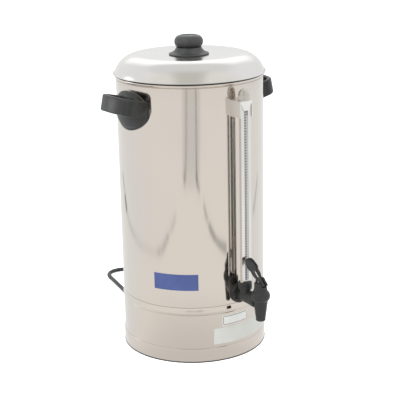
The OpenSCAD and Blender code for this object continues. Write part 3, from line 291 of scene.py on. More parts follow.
@dataclass(frozen=True)
class Steel(Finish):
    """Metal with a faint grain, handling smears, a varying polish and dark crevice lines of dirt and painted
    shade.

    Attributes:
        grain: Way that it was rubbed.
        grain_depth: Depth of the grain in metres, shaded with grain_strength.
        grain_scale: Features of the grain to the metre.
        grain_rough: How much the grain changes the roughness.
        grime_and_shade: Height and half height in metres of each dark line where dirt gathers and painted
            shade falls.
    """

    rough: float = 0.12
    spread: float = 0.08
    grain: Grain = Grain.ROUND
    grain_depth: float = 0.0000015
    grain_strength: float = 0.6
    grain_scale: float = 900.0
    grain_rough: float = 0.05
    grime_and_shade: tuple[Point2, ...] = ()
    pattern = Pattern(9.0, (1.0, 1.0, 0.6), 4.0, (0.35, 0.7), (0.3, 0.75))

    def inputs(self, g: Graph) -> dict[str, Value]:
        """Adds the metal's grain, and dirt with painted shade along crevice lines, to what feeds the shader.

        Args:
            g: The material's graph.

        Returns:
            Values and sockets by the shader's input.
        """
        made = super().inputs(g)
        fine = g.noise(Pattern(self.grain_scale, self.grain.value, 2.0))
        made["Roughness"] += (fine - 0.5) * self.grain_rough
        # Each crevice line darkens with dirt and painted shade, as where the lid's edge sits on the rim.
        for height, half in self.grime_and_shade:
            off = g.axes(g.place())[2] - height
            dirt_and_shade = (off * off).ramp(half * half, (GRIME_AND_SHADE_FADE * half) ** 2, GRIME_AND_SHADE_DEPTH, 0.0)
            made["Base Color"] = g.blend(dirt_and_shade, made["Base Color"], GRIME_AND_SHADE)
            made["Roughness"] += dirt_and_shade * GRIME_AND_SHADE_ROUGH
        return made | {"Metallic": 1.0, "Normal": g.bump(fine, self.grain_depth, self.grain_strength)}


@dataclass(frozen=True)
class Moulding(Finish):
    """Moulded plastic or rubber with a fine skin and worn, shinier patches.

    Attributes:
        relief_depth: Depth of its texture in metres.
        relief_strength: Strength of the texture.
        gleam: Specular level, where 0.5 is plain plastic.
    """

    relief_depth: float = 0.00002
    relief_strength: float = 0.5
    gleam: float = 0.5
    relief = Pattern(1400.0, detail=2.0)

    def inputs(self, g: Graph) -> dict[str, Value]:
        """Adds the gleam and the texture to what feeds the shader."""
        normal = g.bump(g.noise(self.relief), self.relief_depth, self.relief_strength)
        return super().inputs(g) | {"Specular IOR Level": self.gleam, "Normal": normal}


@dataclass(frozen=True)
class Paper(Moulding):
    """Coated sticker stock with fibres."""

    rough: float = 0.42
    spread: float = 0.1
    relief_depth: float = 0.000008
    relief_strength: float = 0.4
    pattern = Pattern(30.0, detail=2.0, tint=(0.35, 0.75), polish=(0.2, 0.8))
    relief = Pattern(700.0)


@dataclass(frozen=True)
class Clear(Finish):
    """Clear tube with a faint film inside.

    Attributes:
        bend: Index of refraction.
    """

    rough: float = 0.02
    spread: float = 0.12
    bend: float = 1.47
    pattern = Pattern(160.0, (1.0, 1.0, 0.25), tint=(0.45, 0.8), polish=(0.3, 0.8))

    def inputs(self, g: Graph) -> dict[str, Value]:
        """Lets light through."""
        return super().inputs(g) | {"IOR": self.bend, "Transmission Weight": 1.0}


@dataclass(frozen=True)
class Scale(Finish):
    """Enamel stripe with a ladder of marks up its front, in its shade, and a white back.

    Attributes:
        back: Colour of its back.
        axis: Place along Y of the axis that it is bent round, in metres.
        radius: Radius between its back and its front, with edge as the shares where they meet.
        pitch: Distance between two marks.
        mark: Shares of the pitch between which a mark fades out.
        worn: Strength of the marks where they are worn.
    """

    rough: float = 0.3
    back: Colour = (0.72, 0.71, 0.69)
    axis: float = -0.126
    radius: float = 0.00358
    edge: Point2 = (0.995, 1.005)
    pitch: float = 0.004
    mark: Point2 = (0.28, 0.4)
    worn: float = 0.6
    pattern = Pattern(120.0, (1.0, 1.0, 0.4), tint=(0.25, 0.5))

    def inputs(self, g: Graph) -> dict[str, Value]:
        """Adds the marks to what feeds the shader.

        Args:
            g: The material's graph.

        Returns:
            Values and sockets by the shader's input.
        """
        x, y, z = g.axes(g.place())
        off = y - self.axis
        front = ((x * x + off * off) ** 0.5 / self.radius).ramp(*self.edge)
        rungs = (z.modulo(self.pitch) / self.pitch).ramp(*self.mark, 1.0, 0.0)
        marks = rungs * g.noise(self.pattern).ramp(*self.pattern.tint, self.worn, 1.0)
        tint = g.blend(front, self.back, g.blend(marks, self.colour, self.shade))
        return super().inputs(g) | {"Base Color": tint}


# The tank's dark line at its rim's top is dirt with painted shade under the lid's edge.
MIRROR_STEEL = Steel(
    "mirror_steel", "polished_steel", (0.685, 0.635, 0.574), (0.675, 0.62, 0.58), 0.07, 0.05,
    grime_and_shade=((0.4219, 0.0006),),
)
# The lid's dark line under its rolled edge is dirt with painted shade where it sits on the rim.
LID_STEEL = Steel(
    "lid_steel", "polished_steel", (0.80, 0.79, 0.775), (0.75, 0.745, 0.735), 0.16, 0.08,
    grime_and_shade=((0.4225, 0.0007),),
)
INNER_STEEL = Steel("inner_steel", "polished_steel", (0.62, 0.61, 0.60), (0.52, 0.51, 0.50), 0.2, 0.12)
GAUGE_STEEL = Steel(
    "gauge_steel", "polished_steel", (0.80, 0.79, 0.775), (0.73, 0.72, 0.705), 0.16, 0.1, Grain.UPRIGHT,
)
BRACKET_STEEL = Steel(
    "bracket_steel", "polished_steel", (0.93, 0.92, 0.90), (0.88, 0.87, 0.85), 0.34, 0.1, Grain.UPRIGHT,
)
CAP_STEEL = Steel("cap_steel", "bright_steel", (0.70, 0.67, 0.62), (0.60, 0.57, 0.53), 0.22, 0.1, Grain.NONE)
BRIGHT_STEEL = Steel(
    "bright_steel", "bright_steel", (0.72, 0.72, 0.72), (0.6, 0.6, 0.6), 0.12, 0.08, Grain.NONE,
)
PLATED_STEEL = Steel(
    "plated_steel", "plated_steel", (0.55, 0.56, 0.56), (0.42, 0.43, 0.45), 0.32, 0.15, Grain.NONE,
)
CAST_METAL = Steel(
    "cast_metal", "heater_casting", (0.5, 0.5, 0.5), (0.4, 0.4, 0.4), 0.45, 0.15, Grain.NONE, 0.00004,
)
HEATER_SHEATH = Steel(
    "heater_sheath", "heater_sheath", (0.14, 0.12, 0.11), (0.22, 0.17, 0.13), 0.4, 0.2, Grain.NONE,
)
BRASS = Steel("brass", "brass_screw", (0.66, 0.46, 0.18), (0.5, 0.35, 0.14), 0.25, 0.15, Grain.NONE)
PIN_METAL = Steel("pin_metal", "pin_brass", (0.68, 0.62, 0.48), (0.55, 0.5, 0.38), 0.2, 0.12, Grain.UPRIGHT)
BLACK_PLASTIC = Moulding(
    "black_plastic", "black_plastic", (0.020, 0.021, 0.020), (0.027, 0.028, 0.027), 0.24, 0.12, gleam=0.42,
)
KNOB_PLASTIC = Moulding(
    "knob_plastic", "black_plastic", (0.034, 0.036, 0.035), (0.052, 0.054, 0.052), 0.3, 0.14, gleam=0.5,
)
BLACK_RUBBER = Moulding(
    "black_rubber", "black_rubber", (0.018, 0.018, 0.018), (0.034, 0.033, 0.032), 0.55, 0.2,
)
GREY_SILICONE = Moulding("grey_silicone", "grey_silicone", (0.42, 0.42, 0.41), (0.5, 0.5, 0.49), 0.5, 0.15)
STAT_BODY = Moulding("stat_body", "stat_body", (0.52, 0.34, 0.16), (0.6, 0.42, 0.24), 0.5, 0.15)
BLOCK_IVORY = Moulding("block_ivory", "block_plastic", (0.72, 0.66, 0.52), (0.78, 0.73, 0.6), 0.4, 0.15)
WIRE_SLEEVE = Moulding("wire_sleeve", "wire_sleeve", (0.22, 0.02, 0.015), (0.3, 0.05, 0.04), 0.45, 0.15)
LEAD_SHEATH = Moulding("lead_sheath", "lead_sheath", (0.022, 0.022, 0.024), (0.035, 0.035, 0.037), 0.34, 0.14)
PLUG_PLASTIC = Moulding("plug_plastic", "plug_plastic", (0.018, 0.018, 0.018), (0.03, 0.03, 0.03), 0.42, 0.16)
CLEAR_TUBE = Clear("clear_tube", "clear_tube", (0.95, 0.97, 0.97), (0.80, 0.83, 0.84))
BLUE_STOCK = Paper("blue_stock", "black_plastic", (0.050, 0.078, 0.225), (0.062, 0.094, 0.262))
WHITE_STOCK = Paper("white_stock", "black_plastic", (0.70, 0.70, 0.66), (0.66, 0.66, 0.62))
GREY_STOCK = Paper("grey_stock", "black_plastic", (0.58, 0.58, 0.54), (0.54, 0.54, 0.50))
INK = Paper("ink", "black_plastic", (0.05, 0.052, 0.05), (0.09, 0.09, 0.085))
LADDER = Scale("ladder", "black_plastic", (0.38, 0.39, 0.40), (0.06, 0.065, 0.07))


def dress(piece: bpy.types.Object, finish: Finish) -> None:
    """Puts one finish on a piece, or on a CAD node's own slots.

    Args:
        piece: The object.
        finish: What it is finished in.
    """
    material = finish.material()
    if piece.data.materials:
        for index in range(len(piece.data.materials)):
            piece.data.materials[index] = material
    else:
        piece.data.materials.append(material)


# ---------- mesh helpers


def arc(centre: Point2, radius: float, start: float, end: float, steps: int = 8) -> list[Point2]:
    """Points on an arc, with its angles in degrees."""
    angles = [math.radians(start + (end - start) * i / steps) for i in range(steps + 1)]
    return [(centre[0] + radius * math.cos(a), centre[1] + radius * math.sin(a)) for a in angles]


def ease(part: float) -> float:
    """Smooth step from 0 to 1."""
    return 0.5 - 0.5 * math.cos(math.pi * min(max(part, 0.0), 1.0))


def placed(name: str, data: bpy.types.ID) -> bpy.types.Object:
    """Puts a mesh, curve, lamp or camera in the scene.

    Args:
        name: The object's name.
        data: What it shows.

    Returns:
        The object, at the origin.
    """
    made = bpy.data.objects.new(name, data)
    bpy.context.scene.collection.objects.link(made)
    return made


def object_from(bm: bmesh.types.BMesh, name: str, crease: float = 32.0) -> bpy.types.Object:
    """Makes an object from a bmesh, shaded smooth except across sharp edges.

    Args:
        bm: The bmesh, which is freed.
        name: The piece's name.
        crease: Angle in degrees past which an edge stays sharp.

    Returns:
        The object, at the origin.
    """
    mesh = bpy.data.meshes.new(name)
    bm.to_mesh(mesh)
    bm.free()
    mesh.shade_smooth()
    mesh.set_sharp_from_angle(angle=math.radians(crease))
    return placed(name, mesh)


def smooth_copy(node: str) -> bpy.types.Object:
    """Copies a CAD node with its loose triangles merged, so that its curves shade smooth.

    Args:
        node: The CAD node's name.

    Returns:
        The copy, which rides on the node's body and replaces it.
    """
    bm = bmesh.new()
    bm.from_mesh(frame["nodes"][node].data)
    bmesh.ops.remove_doubles(bm, verts=bm.verts, dist=CAD_MERGE)
    bmesh.ops.dissolve_limit(
        bm, angle_limit=math.radians(FLAT_ANGLE), use_dissolve_boundaries=False, verts=bm.verts,
        edges=bm.edges, delimit={"NORMAL"},
    )
    made = object_from(bm, f"{node}_skin")
    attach(made, frame["nodes"][node]["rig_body"])
    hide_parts(node)
    return made


# ---------- studio


@dataclass(frozen=True)
class FloorStripe:
    """Thin dark stripe in the floor's mirrored image; a few of them are painted shadow.

    Attributes:
        start: One end, in metres.
        end: The other end.
        half: Half its width.
        fade: Distance over which its edges fade.
        depth: How strongly it shows, from 0 to 1.
        tail: Distance over which its ends fade.
        spread: Growth of its half width along its run.
    """

    start: Point2
    end: Point2
    half: float = 0.008
    fade: float = 0.02
    depth: float = 1.0
    tail: float = 0.08
    spread: float = 0.0

    def mask(self, x: Sock, y: Sock) -> Sock:
        """Works out where the stripe shows.

        Args:
            x: Place along X.
            y: Place along Y.

        Returns:
            The stripe's depth on it, and 0 off it.
        """
        run = Vector(self.end) - Vector(self.start)
        reach = run.length
        run.normalize()
        along = (x - self.start[0]) * run.x + (y - self.start[1]) * run.y
        across = (x - self.start[0]) * run.y - (y - self.start[1]) * run.x
        part = across / (along * self.spread + self.half)
        line = (part * part).ramp(1.0, (1 + self.fade / self.half) ** 2, self.depth, 0.0)
        return line * along.ramp(0.0, self.tail) * along.ramp(reach - self.tail, reach, 1.0, 0.0)


@dataclass
class Studio:
    """Camera, floor, world and lamps.

    Attributes:
        distance: Camera's distance from the urn's axis, in metres.
        height: Its height above the table.
        turn: Its azimuth, in degrees from the tap's side.
        yaw: Its aim to the right of the axis, with pitch below the horizon and roll about the view.
        focal: Focal length in widths of the frame, with sensor as that width in millimetres.
        floor_size: Side of the floor.
        floor_lit: Its colour under lamps, kept white to the camera by floor_glow.
        paper_near: Its mirrored colour near the camera, paper_far beyond, and paper_turn as cosines between.
        stripe_shade: Mirrored colour of its dark stripes.
        near_reach: Reach over which the shade round the urn ends, near_depth deep.
        near_turn: Cosines over which it grows from near_least.
        far_reach: Reach over which the floor's edge darkens by far_depth.
        backdrop: Mirrored colour of the surround, and next of its glow, ceiling, front and camera.
        glow_rise: Rise over which the glow starts, with glow_side as where it ends.
        ceiling_rise: Rise over which the ceiling starts.
        front_turn: Cosines over which the front starts, with front_side as the camera's edge in it.
        window: Mirrored light of the window, at window_way and with window_edge as its rim.
        daylight: Colour of the surround's light, daylight_power strong.
        facing: Way to the camera, level.
        lamps: Each lamp's name, azimuth, elevation, reach, size and watts, aimed at lamp_aim.
        floor_stripes: Dark stripes in its mirrored image, a few of them painted shadow.
    """

    distance: float = 1.6178
    height: float = 0.694
    turn: float = -37.0
    yaw: float = 0.432
    pitch: float = 16.241
    roll: float = -1.108
    focal: float = 1092.7 / 400
    sensor: float = 36.0
    floor_size: float = 12.0
    floor_lit: Colour = (0.86, 0.86, 0.86)
    floor_glow: float = 0.62
    paper_near: Colour = (1.0, 0.985, 0.965)
    paper_far: Colour = (0.965, 0.985, 0.998)
    stripe_shade: Colour = (0.22, 0.255, 0.255)
    near_reach: Point2 = (0.12, 0.45)
    near_depth: float = 0.21
    near_turn: Point2 = (0.3, 1.0)
    near_least: float = 0.2
    far_reach: Point2 = (2.1, 2.6)
    far_depth: float = 0.08
    paper_turn: Point2 = (-0.2, 0.55)
    backdrop: Colour = (0.905, 0.905, 0.905)
    glow_wall: Colour = (1.35, 1.35, 1.35)
    ceiling: Colour = (0.80, 0.80, 0.79)
    front_shade: Colour = (0.88, 0.86, 0.81)
    camera_shade: Colour = (0.65, 0.63, 0.58)
    glow_rise: Point2 = (0.22, 0.42)
    glow_side: Point2 = (0.04, 0.3)
    ceiling_rise: Point2 = (0.70, 0.86)
    front_side: Point2 = (0.03, 0.2)
    front_turn: Point2 = (0.0, 0.45)
    window: Colour = (2.6, 2.6, 2.6)
    window_way: Point3 = (-0.62, 0.78, 0.07)
    window_edge: Point2 = (0.975, 0.996)
    daylight: Colour = (0.95, 0.97, 1.0)
    daylight_power: float = 0.72
    facing: Point2 = (-0.60, -0.80)
    lamps: tuple[tuple, ...] = (
        ("key", -75, 40, 1.9, 1.2, 20), ("fill", 20, 30, 2.2, 1.4, 14), ("top", -30, 85, 2.0, 1.4, 14),
    )
    lamp_aim: float = 0.24
    floor_stripes: tuple[FloorStripe, ...] = tuple(FloorStripe(*row) for row in (
        ((-0.87, -0.85), (-1.78, -2.0), 0.011, 0.014, 0.75, 0.08, 0.008),
        ((-0.6, -1.045), (-1.21, -2.28), 0.011, 0.014, 0.85, 0.08, 0.008),
        ((-0.71, -0.915), (-1.571, -2.264), 0.2, 0.1, 0.24, 0.06, 0.19),
        # The next four are painted shadow: short wide stripes at the near ends of the first two, and one
        # across.
        ((-0.895, -0.89), (-0.848, -0.73), 0.022, 0.02, 0.9, 0.03),
        ((-0.625, -1.085), (-0.535, -0.965), 0.018, 0.02, 1.0, 0.03),
        ((-0.56, -0.985), (-0.44, -0.965), 0.016, 0.02, 0.8, 0.03),
        ((-0.84, -0.79), (-0.56, -0.985), 0.02, 0.03, 0.22, 0.04),
        ((-0.13, 1.13), (-0.235, 0.89), 0.012, 0.015, 0.8),
        ((-0.225, 0.91), (-0.288, 0.72), 0.022, 0.015, 1.0, 0.03),
        ((-0.285, 0.73), (-0.47, 0.44), 0.01, 0.03, 0.22, 0.02),
        ((-0.46, 0.46), (-0.573, 0.2), 0.012, 0.03, 0.14, 0.02),
        ((-0.57, 0.21), (-0.606, -0.03), 0.01, 0.03, 0.14, 0.02),
        ((-0.6, 0.03), (-0.607, -0.07), 0.01, 0.02, 0.45, 0.03),
        ((-0.604, -0.05), (-0.7, -0.23), 0.008, 0.025, 0.45, 0.02),
        ((-0.688, -0.205), (-0.77, -0.46), 0.006, 0.025, 0.35, 0.1),
        ((-0.36, -0.91), (-0.175, -0.765), 0.006, 0.025, 0.6),
        ((-0.195, -0.78), (-0.04, -0.682), 0.007, 0.03, 0.7, 0.02),
        ((-0.06, -0.694), (0.15, -0.595), 0.007, 0.025, 0.6, 0.02, 0.02),
        ((1.12, -0.04), (0.69, -0.3), 0.008, 0.025, 0.5, 0.1),
    ))

    def camera(self) -> None:
        """Places the camera."""
        turn, yaw, pitch, roll = (math.radians(a) for a in (self.turn, self.yaw, self.pitch, self.roll))
        about = Matrix.Rotation(turn, 3, "Z")
        level_out = math.cos(pitch)
        ahead = about @ Vector((math.sin(yaw) * level_out, math.cos(yaw) * level_out, -math.sin(pitch)))
        level = about @ Vector((math.cos(yaw), -math.sin(yaw), 0))
        upright = level.cross(ahead)
        right = math.cos(roll) * level + math.sin(roll) * upright
        up = -math.sin(roll) * level + math.cos(roll) * upright
        data = bpy.data.cameras.new("view")
        data.sensor_width = self.sensor
        data.lens = self.sensor * self.focal
        made = placed("view", data)
        spot = about @ Vector((0, -self.distance, 0)) + Vector((0, 0, self.height))
        made.matrix_world = Matrix.Translation(spot) @ Matrix((right, up, -ahead)).transposed().to_4x4()
        bpy.context.scene.camera = made

    def floor(self) -> None:
        """Lays a pale floor that is white to the camera, keeps the shadow, and shows dark stripes and painted
        shade in steel.
        """
        bm = bmesh.new()
        bmesh.ops.create_grid(bm, x_segments=1, y_segments=1, size=self.floor_size / 2)
        made = object_from(bm, "floor")
        material = bpy.data.materials.new("floor")
        g = Graph(material)
        camera, mirrored = g.rays()
        x, y, _ = g.axes(g.node("ShaderNodeTexCoord", out="Object"))
        # Mirrored rays see dark stripes, a few of them painted shadow, and painted shade round the urn.
        floor_stripes = self.floor_stripes[0].mask(x, y)
        for seam in self.floor_stripes[1:]:
            floor_stripes = floor_stripes.most(seam.mask(x, y))
        reach = (x * x + y * y) ** 0.5
        toward = (x * self.facing[0] + y * self.facing[1]) / reach
        near = reach.ramp(*self.near_reach, self.near_depth, 0.0)
        near = near * toward.ramp(*self.near_turn, self.near_least, 1.0)
        shade = near + reach.ramp(*self.far_reach, 0.0, self.far_depth)
        paper = g.blend(toward.ramp(*self.paper_turn), self.paper_far, self.paper_near)
        paper = g.blend(floor_stripes, g.blend(shade, paper, (0.0, 0.0, 0.0)), self.stripe_shade)
        lit = g.node("ShaderNodeBsdfDiffuse", inputs={"Color": self.floor_lit})
        glow = g.node("ShaderNodeEmission", inputs={"Color": (1.0, 1.0, 1.0), "Strength": self.floor_glow})
        image = g.node("ShaderNodeEmission", inputs={"Color": paper, "Strength": 1.0})
        seen = g.node("ShaderNodeAddShader", inputs={0: lit, 1: glow})
        plain = g.node("ShaderNodeMixShader", inputs={0: camera, 1: lit, 2: seen})
        g.surface(g.node("ShaderNodeMixShader", inputs={0: mirrored, 1: plain, 2: image}))
        made.data.materials.append(material)

    def world(self) -> None:
        """Lights the scene from a soft white surround."""
        surround = bpy.data.worlds.new("surround")
        g = Graph(surround)
        camera, mirrored = g.rays()
        x, y, rise = g.axes(g.node("ShaderNodeTexCoord", out="Generated"))
        toward = x * self.facing[0] + y * self.facing[1]
        side = x * self.facing[1] - y * self.facing[0]
        glow = rise.ramp(*self.glow_rise) * (side * side).ramp(*self.glow_side, 1.0, 0.0)
        sky = g.blend(glow, self.backdrop, self.glow_wall)
        sky = g.blend(rise.ramp(*self.ceiling_rise), sky, self.ceiling)
        front = g.blend((side * side).ramp(*self.front_side), self.camera_shade, self.front_shade)
        sky = g.blend(toward.ramp(*self.front_turn), sky, front)
        to_window = x * self.window_way[0] + y * self.window_way[1] + rise * self.window_way[2]
        sky = g.blend(to_window.ramp(*self.window_edge), sky, self.window)
        soft, white, image = (
            g.node("ShaderNodeBackground", inputs={"Color": colour, "Strength": strength})
            for colour, strength in ((self.daylight, self.daylight_power), ((1.0, 1.0, 1.0), 1.0), (sky, 1.0))
        )
        plain = g.node("ShaderNodeMixShader", inputs={0: camera, 1: soft, 2: white})
        shown = g.node("ShaderNodeMixShader", inputs={0: mirrored, 1: plain, 2: image})
        g.surface(shown, "ShaderNodeOutputWorld")
        bpy.context.scene.world = surround

    def light(self) -> None:
        """Adds square soft lamps aimed at the urn, which the steel doesn't mirror."""
        for name, azimuth, elevation, reach, size, watts in self.lamps:
            data = bpy.data.lights.new(name, "AREA")
            data.shape = "SQUARE"
            data.size = size
            data.energy = watts
            made = placed(name, data)
            a, e = math.radians(azimuth), math.radians(elevation)
            way = Vector((math.sin(a) * math.cos(e), -math.cos(a) * math.cos(e), math.sin(e)))
            made.location = Vector((0, 0, self.lamp_aim)) + way * reach
            made.rotation_euler = way.to_track_quat("Z", "Y").to_euler()
            made.visible_glossy = False

    def build(self) -> None:
        """Builds the studio."""
        self.camera()
        self.floor()
        self.world()
        self.light()
        bpy.context.scene.view_settings.view_transform = "Standard"


# ---------- mains lead


@dataclass
class MainsLead:
    """The lead from its strain relief, along the table, into its coil and out to the plug.

    Attributes:
        diameter: Diameter of the lead, in metres.
        length: Its real length.
        coil_at: Centre of the coil.
        coil_low: Height of the coil's lower layer.
        tail_z: Height of its upper layer and of the tail.
        inner: Radius of its inner turns, and outer of its outer turns.
        turns: Number of turns.
        enter: Azimuth in degrees where the coil starts, and leave where it ends.
        layer_blend: Turns that the change of layer takes.
        pass_blend: Turns that a change of radius takes.
        pass_in: Turn where the radius starts to shrink, and pass_out where it grows, before the end.
        points_a_turn: Curve points in a turn, with curve_steps between two.
        section_steps: Steps in a quarter of its section.
        route: Points from the strain relief to the coil.
        tail: Points from the coil to the plug, from the coil's centre.
    """

    diameter: float = 0.007
    length: float = 1.5
    coil_at: Point2 = (0.144, 0.178)
    coil_low: float = 0.0047
    tail_z: float = 0.0117
    inner: float = 0.035
    outer: float = 0.042
    turns: float = 4.5
    enter: float = 48.0
    leave: float = 233.0
    layer_blend: float = 0.6
    pass_blend: float = 0.5
    pass_in: float = 0.9
    pass_out: float = 1.4
    points_a_turn: int = 16
    curve_steps: int = 4
    section_steps: int = 5
    route: tuple[Point3, ...] = (
        (0.0, 0.1485, 0.042), (0.0, 0.1545, 0.042), (0.001, 0.1625, 0.0408), (0.002, 0.1715, 0.0378),
        (0.004, 0.1815, 0.032), (0.006, 0.1915, 0.024), (0.009, 0.2025, 0.0151), (0.012, 0.2135, 0.0082),
        (0.016, 0.2245, 0.0044), (0.02, 0.2375, 0.0036), (0.024, 0.2525, 0.0036), (0.028, 0.2685, 0.0036),
        (0.032, 0.2845, 0.0036), (0.035, 0.2975, 0.0036), (0.038, 0.3065, 0.0036), (0.044, 0.3165, 0.0036),
        (0.052, 0.3225, 0.0036), (0.062, 0.3245, 0.0036), (0.072, 0.3225, 0.0036), (0.082, 0.3175, 0.0036),
        (0.093, 0.3095, 0.0036), (0.105, 0.2985, 0.0036), (0.118, 0.2825, 0.0036), (0.131, 0.2625, 0.0036),
        (0.143, 0.2435, 0.0036), (0.157, 0.2245, 0.004),
    )
    tail: tuple[Point2, ...] = ((-0.033, -0.027), (-0.041, -0.021), (-0.049, -0.015), (-0.057, -0.009))

    def coil(self) -> list[Point3]:
        """Winds the coil: out on the lower layer, and back on the upper one.

        Returns:
            Its points.
        """
        start, end = math.radians(self.enter), math.radians(self.leave) - math.tau * (self.turns + 0.5)
        count = round(abs(end - start) / math.tau * self.points_a_turn)
        made = []
        for i in range(count + 1):
            part = i / count
            angle = start + (end - start) * part
            turn = part * self.turns
            layer = min(max((turn - self.turns / 2) / self.layer_blend + 0.5, 0.0), 1.0)
            inward = ease((turn - self.pass_in) / self.pass_blend)
            outward = ease((turn - self.turns + self.pass_out) / self.pass_blend)
            radius = self.outer + (self.inner - self.outer) * (inward - outward)
            x, y = self.coil_at[0] + radius * math.cos(angle), self.coil_at[1] + radius * math.sin(angle)
            made.append((x, y, self.coil_low + (self.tail_z - self.coil_low) * layer))
        return made

    def build(self) -> None:
        """Makes the lead as one curve and dresses its fittings."""
        tail = [(self.coil_at[0] + x, self.coil_at[1] + y, self.tail_z) for x, y in self.tail]
        points = [*self.route, *self.coil(), *tail]
        data = bpy.data.curves.new("mains_lead", "CURVE")
        data.dimensions = "3D"
        data.bevel_depth = self.diameter / 2
        data.bevel_resolution = self.section_steps
        data.resolution_u = self.curve_steps
        data.use_fill_caps = True
        spline = data.splines.new("BEZIER")
        spline.bezier_points.add(len(points) - 1)
        for knot, spot in zip(spline.bezier_points, points):
            knot.co = spot
            knot.handle_left_type = knot.handle_right_type = "AUTO"
        lead = placed("mains_lead", data)
        dress(lead, LEAD_SHEATH)
        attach(lead, "urn")
        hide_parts("cord_lead", "cord_coil", "cord_tail")
        for node, finish in (
            ("cord_gland", BLACK_RUBBER), ("cord_tie", BLACK_PLASTIC), ("plug_body", PLUG_PLASTIC),
            ("plug_pins", PIN_METAL),
        ):
            dress(frame["nodes"][node], finish)
        log.info("mains lead: %d points", len(points))


# ---------- steel shells


@dataclass
class Vessel:
    """Tank, skirt and lid as smooth spun shells. Sizes in millimetres.

    Attributes:
        body: Outside radius of the tank and the skirt.
        sheet: Thickness of the sheet, with slack and lead_in as small steps between forms.
        rim: Height of the rim.
        seam: Height of the seam, cut seam_recess into the tank's edge.
        floor: Height of the tank floor, with corner as its round.
        well_radius: Radius of the heater well, well_drop deep and with well_soft as its round.
        spigot_gap: Air round the part of the tank inside the skirt.
        bead: Radius of the rolled rim, which stands bead_proud out.
        bead_roll: First and last angle of its roll, in degrees, with bead_steps as its steps.
        skirt_foot: Height of the hem over the table, with hem as its radius, hem_in from the wall.
        skirt_bead: Height of the lower band, which stands band_proud out with band_steps in its edge.
        shelf: Lower and upper height of the shelf for the base plate, shelf_width wide.
        swage: Height of the swage, which stands swage_proud out and lies lower with swage_sag.
        swage_steps: Steps in its curve, whose ends lie swage_in inside the wall.
        groove: Half height and depth of the groove under the swage.
        edging_proud: How far the rubber edging stands out, with edging_soft as its bevel.
        edging_rise: Its lower and upper height, with edging_tuck as its slope and depth under the wall.
        lid_roll: Radius of the lid's rolled edge, lid_overhang past the tank and lid_gap over the rim.
        lid_rise: Height of the crest over the rim, with lid_shoulder as the shoulder's radius.
        lid_dish: Drop from the crest to the middle.
        lid_sheet: Thickness of the lid.
        lid_plug: Radius and depth of the ring that sits inside the rim.
        lid_steps: Steps in the shoulder, roll_steps in a rolled edge and turn_steps in a turn.
    """

    body: float = 110.0
    sheet: float = 1.0
    slack: float = 0.2
    lead_in: float = 0.4
    rim: float = 422.0
    seam: float = 88.0
    seam_recess: float = 0.3
    floor: float = 82.0
    corner: float = 5.0
    well_radius: float = 26.0
    well_drop: float = 9.0
    well_soft: float = 0.6
    spigot_gap: float = 0.05
    bead: float = 2.4
    bead_proud: float = 1.0
    bead_roll: Point2 = (220, -122)
    bead_steps: int = 28
    skirt_foot: float = 1.5
    hem: float = 1.1
    hem_in: float = 0.1
    skirt_bead: float = 22.7
    band_proud: float = 1.0
    band_steps: int = 5
    shelf: Point2 = (9.2, 10.2)
    shelf_width: float = 8.0
    swage: float = 12.2
    swage_proud: float = 0.95
    swage_sag: float = 1.94
    swage_steps: int = 16
    swage_in: float = 0.1
    groove: Point2 = (0.5, 0.45)
    edging_proud: float = 1.2
    edging_soft: float = 0.3
    edging_rise: Point2 = (0.35, 2.2)
    edging_tuck: Point2 = (0.5, 0.6)
    lid_roll: float = 1.3
    lid_overhang: float = 3.9
    lid_gap: float = 0.3
    lid_rise: float = 29.0
    lid_shoulder: float = 36.0
    lid_dish: float = 4.0
    lid_sheet: float = 0.8
    lid_plug: Point2 = (105.3, 11.0)
    lid_steps: int = 24
    roll_steps: int = 10
    turn_steps: int = 192

    def shell(self, name: str, outline: Sequence[Point2], finish: Finish, body: str, node: str = "") -> None:
        """Spins a shell round the urn's axis, dresses it and puts it on its body.

        Args:
            name: The piece's name.
            outline: Radius and height of each point of its closed outline.
            finish: Its finish.
            body: The body that it rides on.
            node: The CAD node that it replaces, if any.
        """
        bm = bmesh.new()
        verts = [bm.verts.new((r * MM, 0.0, z * MM)) for r, z in outline]
        edges = [bm.edges.new((a, b)) for a, b in zip(verts, verts[1:] + verts[:1])]
        bmesh.ops.spin(
            bm, geom=verts + edges, cent=(0, 0, 0), axis=(0, 0, 1), dvec=(0, 0, 0),
            angle=math.tau, steps=self.turn_steps, use_merge=True, use_duplicate=False,
        )
        bmesh.ops.remove_doubles(bm, verts=bm.verts, dist=MERGE)
        bmesh.ops.recalc_face_normals(bm, faces=bm.faces)
        made = object_from(bm, name)
        dress(made, finish)
        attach(made, body)
        if node:
            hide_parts(node)

    def tank(self) -> None:
        """Spins the tank."""
        wall, t, well, soft = self.body - self.sheet, self.sheet, self.well_radius, self.well_soft
        spigot = wall - self.spigot_gap
        bead = (self.body + self.bead_proud - self.bead, self.rim - self.bead)
        low = self.floor - self.well_drop
        bend = (spigot - self.corner, self.floor - t + self.corner)
        inside = [
            (0.0, low), (well - soft, low), (well, low + soft), (well, self.floor - 0.5),
            (well + t + self.lead_in, self.floor), *arc(bend, self.corner - t, -90, 0),
            (spigot - t, self.seam), (wall, self.seam + t + self.slack),
            (wall, self.rim - 2 * self.bead + self.lead_in),
        ]
        outside = [
            *arc(bead, self.bead, *self.bead_roll, self.bead_steps), (self.body, bead[1] - self.bead - 1.0),
            (self.body, self.seam + self.seam_recess), (self.body - self.seam_recess, self.seam),
            (spigot, self.seam), *arc(bend, self.corner, 0, -90), (well + t, self.floor - t),
            (well + t, low - t), (0.0, low - t),
        ]
        self.shell("tank_shell", inside + outside, MIRROR_STEEL, "urn", "tank")

